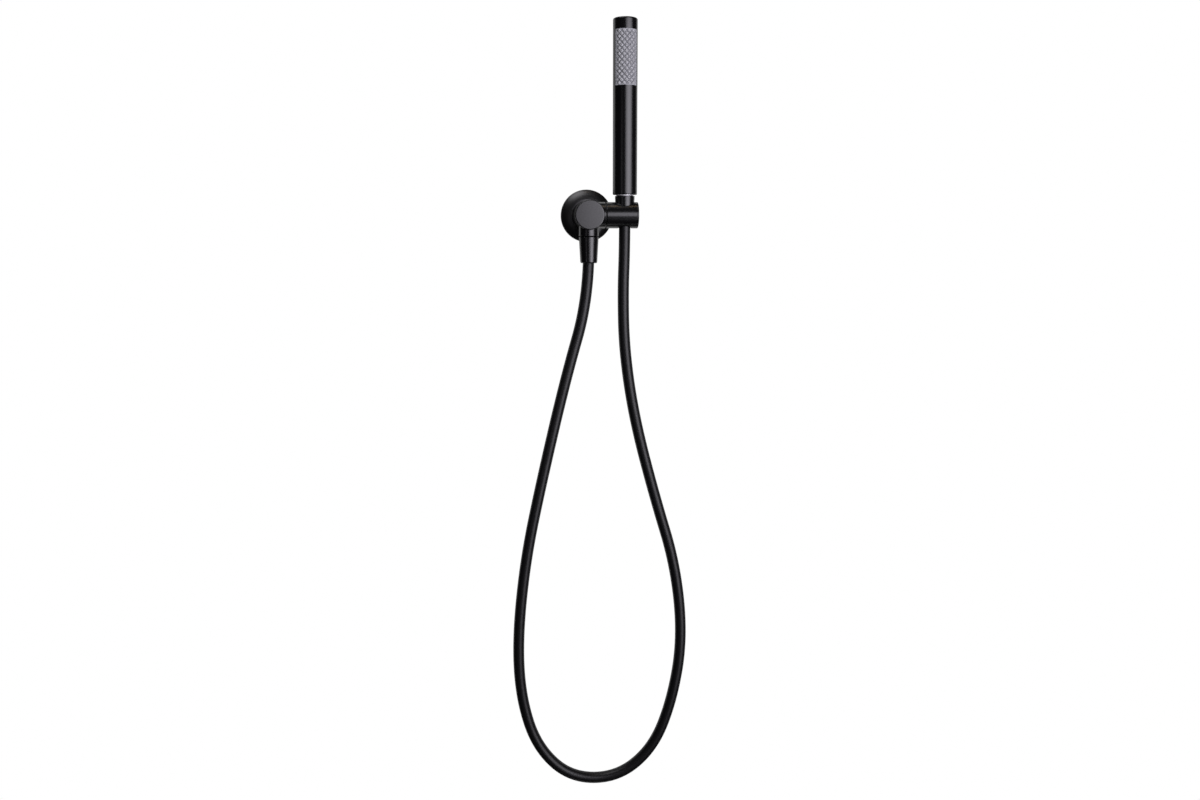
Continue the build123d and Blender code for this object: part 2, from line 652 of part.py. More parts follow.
def handset_connector():
    """Bright plug in the foot of the stick, with the threaded neck."""
    plug = STICK_BORE_D / 2 - FIT
    connector = turned(
        (0, HANDSET_THREAD_END),
        (THREAD_D / 2, HANDSET_THREAD_END),
        (THREAD_D / 2, PLUG_END_Z),
        (plug, PLUG_END_Z),
        (plug, PLUG_TOP_Z),
        (0, PLUG_TOP_Z),
    )
    connector -= rod(NECK_BORE, HANDSET_THREAD_END - CUT_MARGIN, PLUG_TOP_Z)
    regulator_seat = HANDSET_THREAD_END + REGULATOR_T
    connector -= rod(REGULATOR_D + 2 * FIT, HANDSET_THREAD_END - CUT_MARGIN, regulator_seat)
    connector -= rod(WATER_TUBE_D + 2 * FIT, WATER_TUBE_END_Z, PLUG_TOP_Z + CUT_MARGIN)
    ring_height = PLUG_TOP_Z - WATER_TUBE_SOCKET / 2
    connector -= seal_groove_in_bore(WATER_TUBE_D + 2 * FIT, WATER_RING_SECTION, ring_height)
    plug_ring_height = (PLUG_END_Z + WATER_TUBE_END_Z) / 2
    connector -= seal_groove_on_rod(2 * plug, PLUG_RING_SECTION, plug_ring_height)
    return AT_HANDSET * connector


def connector_seal():
    """Seal of the connector in the stick."""
    inner_d = groove_floor(STICK_BORE_D - 2 * FIT, PLUG_RING_SECTION)
    return AT_HANDSET * seal_ring(inner_d, PLUG_RING_SECTION, (PLUG_END_Z + WATER_TUBE_END_Z) / 2)


def flow_regulator():
    """Disc with small holes in the mouth of the connector."""
    start = HANDSET_THREAD_END
    disc = rod(REGULATOR_D, start, start + REGULATOR_T - FIT)
    hole = rod(REGULATOR_HOLE_D, start - CUT_MARGIN, start + REGULATOR_T + CUT_MARGIN)
    disc -= around(REGULATOR_HOLES, NECK_BORE / 2 - REGULATOR_HOLE_D, hole)
    return AT_HANDSET * disc


AT_OUTLET_NUT = Pos(0, AXIS_Y, OUTLET_NUT_TOP)
AT_HANDSET_NUT = Pos(HANDSET_X, AXIS_Y, HANDSET_NUT_TOP)

PARTS = {
    "wall_flange": wall_flange(),
    "flange_seal": flange_seal(),
    "outlet_body": outlet_body(),
    "check_valve_cage": valve_cage(),
    "check_valve_seal": valve_seal(),
    "check_valve_poppet": valve_poppet(),
    "check_valve_spring": valve_spring(),
    "friction_washer": friction_washer(),
    "spring_washer": spring_washer(),
    "pivot_screw": pivot_screw(),
    "holder": holder(),
    "holder_end_cap": holder_end_cap(),
    "outlet_nut": AT_OUTLET_NUT * hose_nut(),
    "outlet_washer": AT_OUTLET_NUT * nut_washer(),
    "outlet_hose_tail": AT_OUTLET_NUT * flanged_tail(),
    "outlet_ferrule": AT_OUTLET_NUT * ferrule(OUTLET_FERRULE_TOP),
    "hose": hose(),
    "handset_nut": AT_HANDSET_NUT * hose_nut(),
    "handset_washer": AT_HANDSET_NUT * nut_washer(),
    "swivel_bush": AT_HANDSET_NUT * swivel_bush(),
    "handset_hose_tail": AT_HANDSET_NUT * swivel_tail(),
    "swivel_seal": AT_HANDSET_NUT * swivel_seal(),
    "handset_ferrule": AT_HANDSET_NUT * ferrule(HANDSET_FERRULE_TOP),
    "handset_tube": handset_tube(),
    "spray_face": spray_face(),
    "spray_carrier": spray_carrier(),
    "water_tube": water_tube(),
    "water_tube_seals": water_tube_seals(),
    "handset_connector": handset_connector(),
    "connector_seal": connector_seal(),
    "flow_regulator": flow_regulator(),
}

os.makedirs("parts", exist_ok=True)
for name, piece in PARTS.items():
    export_step(piece, f"parts/{name}.step")
print("handset axis at x", round(HANDSET_X, 3), "stick from", STICK_END_Z, "to", STICK_TOP_Z)
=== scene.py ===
import logging
import math
from collections.abc import Callable
from dataclasses import dataclass, field, replace
from enum import Enum
from typing import Any

import bmesh
import bpy
from bpy.types import Material, NodeSocket, NodeTree, Object
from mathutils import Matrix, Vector


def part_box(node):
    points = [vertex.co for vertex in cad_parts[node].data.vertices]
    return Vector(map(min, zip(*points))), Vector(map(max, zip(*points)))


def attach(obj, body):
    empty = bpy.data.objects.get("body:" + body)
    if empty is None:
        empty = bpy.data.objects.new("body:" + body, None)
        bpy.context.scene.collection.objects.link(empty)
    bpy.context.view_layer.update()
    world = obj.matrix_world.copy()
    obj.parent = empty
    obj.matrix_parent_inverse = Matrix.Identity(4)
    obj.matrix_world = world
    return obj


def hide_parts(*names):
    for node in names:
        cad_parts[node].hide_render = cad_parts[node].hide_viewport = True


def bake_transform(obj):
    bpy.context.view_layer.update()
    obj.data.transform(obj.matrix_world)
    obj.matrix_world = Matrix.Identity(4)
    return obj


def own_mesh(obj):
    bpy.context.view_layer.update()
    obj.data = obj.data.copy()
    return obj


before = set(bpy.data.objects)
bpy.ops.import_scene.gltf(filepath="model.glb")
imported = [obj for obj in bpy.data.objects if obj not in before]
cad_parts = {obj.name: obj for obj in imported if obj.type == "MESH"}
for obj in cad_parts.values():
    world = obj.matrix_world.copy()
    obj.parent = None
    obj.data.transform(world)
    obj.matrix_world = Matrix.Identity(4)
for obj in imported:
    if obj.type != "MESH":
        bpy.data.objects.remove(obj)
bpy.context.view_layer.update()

# A stick hand shower in the swivelling holder of a round wall outlet, with its hose hanging in a loop.
# Sizes are in millimetres and become metres where a mesh is made.

LOG = logging.getLogger("hand_shower")
MM = 0.001
ORIGIN = Vector((0, 0, 0))
# How finely round shapes are divided: turned pieces by size, helices, round corners and eased edges
TURN_STEPS = 112
LARGE_TURN_STEPS = 144
SMALL_TURN_STEPS = 48
HELIX_STEPS = 48
CORNER_STEPS = 5
BEVEL_STEPS = 2
SHARP_ANGLE = math.radians(32)
MERGE_MM = 0.0002
# Ease of edges that have no size of their own, and how far a cutting tool reaches past the piece
EDGE = 0.3
FINE_EDGE = 0.2
CUT_MARGIN = 1.0


class Way(Enum):
    """Direction in which the heights of a turned piece run."""

    FROM_WALL = (0, -1, 0)
    ALONG_HOLDER = (1, 0, 0)
    UP = (0, 0, 1)

    @property
    def axis(self) -> Vector:
        """Unit vector of the turning axis."""
        return Vector(self.value)

    @property
    def side(self) -> Vector:
        """Unit vector in which the profile's radii are drawn."""
        return Vector((1, 0, 0)) if self is Way.UP else Vector((0, 0, 1))


class Body(Enum):
    """Moving bodies of the part."""

    OUTLET = "wall_outlet"
    HOLDER = "holder"
    HANDSET = "handset"


class Slot(Enum):
    """Material slots of the record, one named for each new piece."""

    COATING = "satin_black_metal"
    HOSE = "black_hose"
    SILICONE = "grey_silicone"
    PLATING = "bright_metal"
    STEEL = "steel"
    BRASS = "brass"


class Act(Enum):
    """What a tool does to a piece."""

    JOIN = "UNION"
    CUT = "DIFFERENCE"


@dataclass(frozen=True)
class Extent:
    """Box of a solid of the frame, in millimetres."""

    low: Vector
    high: Vector

    @classmethod
    def of(cls, node: str) -> "Extent":
        """Box of a solid at rest, by the solid's name."""
        low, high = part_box(node)
        return cls(low / MM, high / MM)

    @property
    def middle(self) -> Vector:
        """Centre of the box."""
        return (self.low + self.high) / 2


@dataclass(frozen=True)
class Corner:
    """Corner of a turned profile; ease is how far its round edge starts from the corner."""

    radius: float
    height: float
    ease: float = 0.0


# Modelling helpers


def deselect_all() -> None:
    """Leave nothing selected, so that an operator acts on one piece alone."""
    bpy.ops.object.select_all(action="DESELECT")


def make_active(piece: Object) -> None:
    """Select one piece alone and make it the active one.

    Args:
        piece: the piece that the next operator acts on.
    """
    deselect_all()
    piece.select_set(True)
    bpy.context.view_layer.objects.active = piece


def select_vertices(piece: Object, wanted: list[Vector]) -> None:
    """Select the vertices nearest to some points of a piece that is in edit mode.

    Args:
        piece: the piece being edited.
        wanted: points in metres.
    """
    bpy.ops.mesh.select_all(action="DESELECT")
    mesh = bmesh.from_edit_mesh(piece.data)
    for point in wanted:
        min(mesh.verts, key=lambda vertex: (vertex.co - point).length).select_set(True)
    mesh.select_flush(True)
    bmesh.update_edit_mesh(piece.data)


def close_mesh(piece: Object) -> None:
    """Merge doubles, turn the faces outwards and shade smooth up to the sharp angle.

    Args:
        piece: the mesh, with no gap left that is wider than a double.
    """
    make_active(piece)
    bpy.ops.object.mode_set(mode="EDIT")
    bpy.ops.mesh.select_all(action="SELECT")
    bpy.ops.mesh.remove_doubles(threshold=MERGE_MM * MM)
    bpy.ops.mesh.normals_make_consistent(inside=False)
    bpy.ops.object.mode_set(mode="OBJECT")
    bpy.ops.object.shade_smooth_by_angle(angle=SHARP_ANGLE)


def apply_modifier(piece: Object, kind: str, **settings: Any) -> None:
    """Add a modifier and apply it.

    Args:
        piece: the piece that gets it.
        kind: the modifier's type.
        settings: its properties.
    """
    make_active(piece)
    modifier = piece.modifiers.new(kind.title(), kind)
    for name, value in settings.items():
        setattr(modifier, name, value)
    bpy.ops.object.modifier_apply(modifier=modifier.name)


def combine(piece: Object, tool: Object, act: Act) -> None:
    """Join a tool to a piece or cut the piece with it, and delete the tool.

    Args:
        piece: the piece that stays.
        tool: the closed mesh that acts on it.
        act: whether the tool is joined or cuts.
    """
    apply_modifier(piece, "BOOLEAN", object=tool, operation=act.value, solver="EXACT")
    make_active(tool)
    bpy.ops.object.delete()


def ease_edges(piece: Object, width: float) -> None:
    """Round the sharp edges of a piece and set clean normals.

    Args:
        piece: the piece with sharp edges.
        width: how far from the edge the rounding starts, in millimetres.
    """
    apply_modifier(
        piece,
        "BEVEL",
        width=width * MM,
        segments=BEVEL_STEPS,
        limit_method="ANGLE",
        angle_limit=SHARP_ANGLE,
        use_clamp_overlap=True,
        miter_outer="MITER_ARC",
    )
    make_active(piece)
    bpy.ops.object.shade_smooth_by_angle(angle=SHARP_ANGLE)


@dataclass(frozen=True)
class Lathe:
    """Turning axis through a point, in millimetres."""

    centre: Vector
    way: Way
    steps: int = TURN_STEPS

    def point(self, corner: Corner) -> Vector:
        """Place of a profile corner, in metres."""
        return (self.centre + self.way.axis * corner.height + self.way.side * corner.radius) * MM

    def draw(self, name: str, corners: list[Corner]) -> Object:
        """Draw a profile as a chain of edges with its round corners, left in edit mode.

        Args:
            name: name of the new piece.
            corners: the profile in order; it is closed unless both ends lie on the axis.

        Returns:
            The object that holds the profile.
        """
        deselect_all()
        bpy.ops.mesh.primitive_plane_add(size=MM)
        piece = bpy.context.object
        piece.name = piece.data.name = name
        points = [self.point(corner) for corner in corners]
        bpy.ops.object.mode_set(mode="EDIT")
        bpy.ops.mesh.select_all(action="SELECT")
        bpy.ops.mesh.merge(type="CENTER")
        bpy.ops.transform.translate(value=points[0])
        for start, end in zip(points, points[1:]):
            bpy.ops.mesh.extrude_vertices_move(TRANSFORM_OT_translate={"value": end - start})
        if corners[0].radius or corners[-1].radius:
            select_vertices(piece, [points[0], points[-1]])
            bpy.ops.mesh.edge_face_add()
        for point, corner in zip(points, corners):
            if corner.ease:
                select_vertices(piece, [point])
                bpy.ops.mesh.bevel(offset=corner.ease * MM, segments=CORNER_STEPS, affect="VERTICES")
        return piece

    def spin(self, angle: float, steps: int) -> None:
        """Spin what is selected in edit mode by degrees, against the clock seen from the axis' end."""
        bpy.ops.mesh.spin(
            steps=steps, angle=-math.radians(angle), center=self.centre * MM, axis=self.way.axis
        )

    def turn(self, name: str, corners: list[Corner]) -> Object:
        """Turn a profile into a closed piece.

        Args:
            name: name of the new piece.
            corners: the profile in order.

        Returns:
            The finished mesh, at the origin.
        """
        piece = self.draw(name, corners)
        bpy.ops.mesh.select_all(action="SELECT")
        self.spin(360, self.steps)
        bpy.ops.object.mode_set(mode="OBJECT")
        close_mesh(piece)
        return piece


def wind(profile: Object, lathe: Lathe, pitch: float, turns: int) -> None:
    """Sweep a closed profile along a helix and close the ends.

    Args:
        profile: the profile, drawn about the origin and still in edit mode.
        lathe: axis of the helix.
        pitch: rise of one turn.
        turns: how many whole turns it makes.
    """
    bpy.ops.object.mode_set(mode="OBJECT")
    sides = len(profile.data.vertices)
    apply_modifier(
        profile,
        "SCREW",
        axis={Way.FROM_WALL: "Y", Way.ALONG_HOLDER: "X", Way.UP: "Z"}[lathe.way],
        screw_offset=sum(lathe.way.value) * pitch * MM,
        iterations=turns,
        steps=HELIX_STEPS,
        render_steps=HELIX_STEPS,
        use_merge_vertices=False,
    )
    profile.location = lathe.centre * MM
    make_active(profile)
    bpy.ops.object.transform_apply()
    bpy.ops.object.mode_set(mode="EDIT")
    bpy.ops.mesh.select_all(action="SELECT")
    bpy.ops.mesh.fill_holes(sides=sides)
    bpy.ops.object.mode_set(mode="OBJECT")
    close_mesh(profile)


@dataclass(frozen=True)
class PipeThread:
    """Half-inch parallel pipe thread, with its depth and its flat as shares of the pitch."""

    radius: float = 10.4775
    pitch: float = 25.4 / 14
    depth: float = 0.64
    flat: float = 1 / 6
    sink: float = 0.15

    def ridge(self, name: str, lathe: Lathe, start: float, end: float) -> Object:
        """Wind the ridge of the thread.

        Args:
            name: name of the new piece.
            lathe: axis of the thread.
            start: height of its first turn.
            end: height of its last turn.

        Returns:
            The ridge, sunk a little into the core that carries it.
        """
        root = self.radius - self.depth * self.pitch - self.sink
        half_flat = self.flat * self.pitch / 2
        half_foot = self.pitch / 2 - 2 * half_flat
        flank = [
            Corner(root, start - half_foot),
            Corner(self.radius, start - half_flat),
            Corner(self.radius, start + half_flat),
            Corner(root, start + half_foot),
        ]
        ridge = Lathe(ORIGIN, lathe.way).draw(name, flank)
        wind(ridge, lathe, self.pitch, int((end - start) / self.pitch))
        return ridge


THREAD = PipeThread()


# Finishes


def linear(colour: str) -> tuple[float, float, float, float]:
    """Turn an sRGB hex colour into linear light.

    Args:
        colour: such as "#0d0c0e".

    Returns:
        Red, green, blue and an alpha of one.
    """
    shares = [int(colour[place : place + 2], 16) / 255 for place in (1, 3, 5)]
    light = [share / 12.92 if share <= 0.04045 else ((share + 0.055) / 1.055) ** 2.4 for share in shares]
    return (*light, 1.0)


def per_metre(size: float) -> float:
    """Texture scale at which one cell of a pattern has a size in millimetres."""
    return 1 / (size * MM)


# Numbers of the Mix node's sockets, because its numbers and its colours have the same names
MIX_SHARE = 0
MIX_NUMBER_A = 2
MIX_NUMBER_B = 3
MIX_COLOUR_A = 6
MIX_COLOUR_B = 7
MIX_NUMBER_OUT = 0
MIX_COLOUR_OUT = 2


def add_node(tree: NodeTree, kind: str, inputs: dict | None = None, **settings: Any) -> bpy.types.Node:
    """Add a node with its settings and links.

    Args:
        tree: the tree that gets it.
        kind: the node's type.
        inputs: values or sockets for its inputs, by name or number.
        settings: its properties.

    Returns:
        The new node.
    """
    node = tree.nodes.new(kind)
    for name, value in settings.items():
        setattr(node, name, value)
    for key, value in (inputs or {}).items():
        if isinstance(value, NodeSocket):
            tree.links.new(value, node.inputs[key])
        else:
            node.inputs[key].default_value = value
    return node


@dataclass(frozen=True)
class Finish:
    """Surface of one material, grained all over on object coordinates; grain and relief in millimetres."""

    name: str
    colour: str
    fleck: str
    grain: float
    relief: float
    roughness: float
    spread: float
    metallic: float = 0.0
    specular: float = 0.5
    stretch: tuple[float, float, float] = (1.0, 1.0, 1.0)
    detail: float = 4.0
    gain: float = 0.6

    def grain_map(self, tree: NodeTree) -> tuple[NodeSocket, Vector]:
        """Coordinates that the grain lies on, and how many of its cells fill one unit of each."""
        place = add_node(tree, "ShaderNodeTexCoord").outputs["Object"]
        return place, Vector(self.stretch) * per_metre(self.grain)

    def pattern(self, tree: NodeTree) -> NodeSocket:
        """Value from 0 to 1 that varies the colour, gloss and relief.

        Args:
            tree: the material's nodes.

        Returns:
            The socket of the pattern.
        """
        place, cells = self.grain_map(tree)
        laid = add_node(tree, "ShaderNodeMapping", {"Vector": place, "Scale": cells})
        noise = add_node(
            tree,
            "ShaderNodeTexNoise",
            {"Vector": laid.outputs[0], "Scale": 1.0, "Detail": self.detail, "Roughness": self.gain},
        )
        return noise.outputs["Fac"]

    def material(self) -> Material:
        """Make the material, or give the one that was made before.

        Returns:
            The node material of this finish.
        """
        made = bpy.data.materials.get(self.name)
        if made:
            return made
        made = bpy.data.materials.new(self.name)
        made.use_nodes = True
        tree = made.node_tree
        shader = tree.nodes["Principled BSDF"]
        pattern = self.pattern(tree)
        colour = add_node(
            tree,
            "ShaderNodeMix",
            {MIX_SHARE: pattern, MIX_COLOUR_A: linear(self.colour), MIX_COLOUR_B: linear(self.fleck)},
            data_type="RGBA",
        )
        gloss = add_node(
            tree,
            "ShaderNodeMapRange",
            {
                "Value": pattern,
                "To Min": self.roughness - self.spread,
                "To Max": self.roughness + self.spread,
            },
        )
        bump = add_node(
            tree, "ShaderNodeBump", {"Height": pattern, "Strength": 1.0, "Distance": self.relief * MM}
        )
        tree.links.new(self.tint(tree, colour.outputs[MIX_COLOUR_OUT]), shader.inputs["Base Color"])
        tree.links.new(gloss.outputs["Result"], shader.inputs["Roughness"])
        tree.links.new(bump.outputs["Normal"], shader.inputs["Normal"])
        shader.inputs["Metallic"].default_value = self.metallic
        shader.inputs["Specular IOR Level"].default_value = self.specular
        return made

    def tint(self, tree: NodeTree, colour: NodeSocket) -> NodeSocket:
        """Colour that the shader takes: the grained one, unless a finish of its own kind changes it."""
        return colour

    def dress(self, piece: Object) -> None:
        """Give a piece this finish in its only material slot.

        Args:
            piece: a new piece with no slot yet, or a solid of the frame with one.
        """
        if piece.material_slots:
            piece.material_slots[0].material = self.material()
        else:
            piece.data.materials.append(self.material())


@dataclass(frozen=True)
class DrawnFinish(Finish):
    """Surface with streaks along a tube, as wide as the grain; the tube gives its girth and length."""

    detail: float = 5.0
    gain: float = 0.65
    streak: float = 192.0
    girth: float = 1.0
    length: float = 1.0

    def grain_map(self, tree: NodeTree) -> tuple[NodeSocket, Vector]:
        """UV map that spans the tube once, and how many streaks lie along the tube and around it."""
        place = add_node(tree, "ShaderNodeUVMap", uv_map="UVMap").outputs[0]
        return place, Vector((self.length / self.streak, self.girth / self.grain, 1.0))


@dataclass(frozen=True)
class HollowShadeFinish(Finish):
    """Surface with painted shade: darker where the piece's own attribute says that it is sunk."""

    # Colour of the painted shade in the hollows, and the attribute that masks it
    hollow: str = "#000000"
    shade_mask_name: str = "sunk"

    def tint(self, tree: NodeTree, colour: NodeSocket) -> NodeSocket:
        """Blend the painted shade of the hollows in.

        Args:
            tree: the material's nodes.
            colour: the grained colour.

        Returns:
            The socket that the shader takes.
        """
        depth = add_node(tree, "ShaderNodeAttribute", attribute_name=self.shade_mask_name).outputs["Fac"]
        blend = add_node(
            tree,
            "ShaderNodeMix",
            {MIX_SHARE: depth, MIX_COLOUR_A: colour, MIX_COLOUR_B: linear(self.hollow)},
            data_type="RGBA",
        )
        return blend.outputs[MIX_COLOUR_OUT]


# A grain that is really finer than about half a millimetre is drawn that coarse, so that it shows.

# Brass under a satin black lacquer: near black, a clear soft highlight and a faint orange peel.
COATING = Finish(
    "satin_black_lacquer", "#050506", "#080709",
    grain=0.9, relief=0.0006, roughness=0.24, spread=0.03, specular=0.62,
)
# The same lacquer on the pressed cover plate, duller.
COVER_COATING = Finish(
    "dull_black_lacquer", "#050506", "#080709",
    grain=0.9, relief=0.0008, roughness=0.38, spread=0.03, specular=0.8,
)
# Painted shade for the bottom of the narrow joint between collar and nut: the lacquer a shade darker, dull
# and weakly reflecting.
JOINT_SHADE = Finish(
    "painted_joint_shade", "#040404", "#060606",
    grain=0.6, relief=0.002, roughness=0.7, spread=0.05, specular=0.2,
)
# Extruded soft PVC: smooth, with faint drawing streaks along the hose.
HOSE_SKIN = DrawnFinish(
    "extruded_soft_pvc", "#060608", "#0a090b",
    grain=1.1, relief=0.003, roughness=0.4, spread=0.04, specular=0.4,
)
# Moulded silicone: matt, cool grey, slightly mottled, with painted shade in the valleys between the nozzles.
SILICONE = HollowShadeFinish(
    "moulded_grey_silicone", "#97989d", "#a1a2a7",
    grain=1.2, relief=0.004, roughness=0.5, spread=0.05, specular=0.45, hollow="#7c7c81",
)
# The same silicone on the nozzles in a lighter colour, which is painted light, and a little glossier.
LIT_SILICONE_TIP = Finish(
    "silicone_tip_painted_light", "#b0b0b4", "#bababe",
    grain=0.8, relief=0.003, roughness=0.42, spread=0.05,
)
# The same silicone in the shade of a jet: dark and matt.
JET_HOLE = Finish(
    "silicone_in_a_jet", "#2a2426", "#352c2d",
    grain=0.4, relief=0.002, roughness=0.6, spread=0.05,
)
# Nickel and chrome on brass, finely blasted: bright, with a wide soft sheen.
PLATING = Finish(
    "blasted_bright_plating", "#d9d9dc", "#e4e4e6",
    grain=0.6, relief=0.0015, roughness=0.5, spread=0.04, metallic=0.7,
)
# Turned brass: yellow metal with fine rings left by the tool.
BRASS = Finish(
    "turned_brass", "#b08a48", "#c6a05c",
    grain=0.6, relief=0.004, roughness=0.3, spread=0.06, metallic=1.0, stretch=(1, 6, 1),
)
# Plain drawn steel: grey, with short streaks.
STEEL = Finish(
    "drawn_steel", "#8d8e91", "#a3a4a6",
    grain=0.5, relief=0.003, roughness=0.34, spread=0.06, metallic=1.0, stretch=(1, 1, 5),
)
# Moulded acetal: white, waxy and even.
ACETAL = Finish(
    "moulded_acetal", "#d6d6d2", "#deded9",
    grain=0.8, relief=0.003, roughness=0.4, spread=0.04,
)
# Moulded nylon, dyed black, with a fine eroded grain.
NYLON = Finish(
    "moulded_black_nylon", "#131314", "#1a1a1b",
    grain=0.5, relief=0.006, roughness=0.5, spread=0.05,
)
# Nitrile rubber: black, matt, faintly powdery.
RUBBER = Finish(
    "black_nitrile_rubber", "#101011", "#191919",
    grain=0.6, relief=0.006, roughness=0.62, spread=0.06, specular=0.4,
)


def coat_where(piece: Object, finish: Finish, chosen: Callable[[Vector], bool]) -> None:
    """Give some faces of a piece a further finish.

    Args:
        piece: a piece that has its main finish.
        finish: what the chosen faces get.
        chosen: says of a face's middle, in metres, whether the face is meant.
    """
    piece.data.materials.append(finish.material())
    last = len(piece.data.materials) - 1
    for face in piece.data.polygons:
        if chosen(face.center):
            face.material_index = last


def enrol(piece: Object, body: Body, slot: Slot, *nodes: str) -> None:
    """Put a finished piece on its body, with weighted normals, and hide the solids that it stands for.

    Args:
        piece: the finished piece.
        body: the body that it moves with.
        slot: the record's slot for its finish; not used.
        nodes: the solids that it replaces.
    """
    apply_modifier(piece, "WEIGHTED_NORMAL", keep_sharp=True)
    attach(piece, body.value)
    if nodes:
        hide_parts(*nodes)
    LOG.info("%s rides on %s", piece.name, body.value)


# Sub-assemblies


@dataclass
class HoseNut:
    """Conical nut of the hose, sized by its solid and a few radii of its own."""

    node: str
    body: Body
    end_radius: float = 10.25
    thread_radius: float = 10.53
    sleeve_radius: float = 8.35
    shoulder: float = 10.5
    edge: float = 0.4
    foot_edge: float = 1.6
    inner_edge: float = 0.25

    def build(self) -> None:
        """Turn the nut and dress it."""
        extent = Extent.of(self.node)
        centre = Vector((extent.middle.x, extent.middle.y, extent.high.z))
        length = extent.high.z - extent.low.z
        top_radius = (extent.high.x - extent.low.x) / 2
        nut = Lathe(centre, Way.UP).turn(
            f"{self.node}_shell",
            [
                Corner(self.thread_radius, 0, self.inner_edge),
                Corner(top_radius, 0, self.edge),
                Corner(self.end_radius, -length, self.foot_edge),
                Corner(self.sleeve_radius, -length, self.inner_edge),
                Corner(self.sleeve_radius, -self.shoulder),
                Corner(self.thread_radius, -self.shoulder),
            ],
        )
        COATING.dress(nut)
        enrol(nut, self.body, Slot.COATING, self.node)


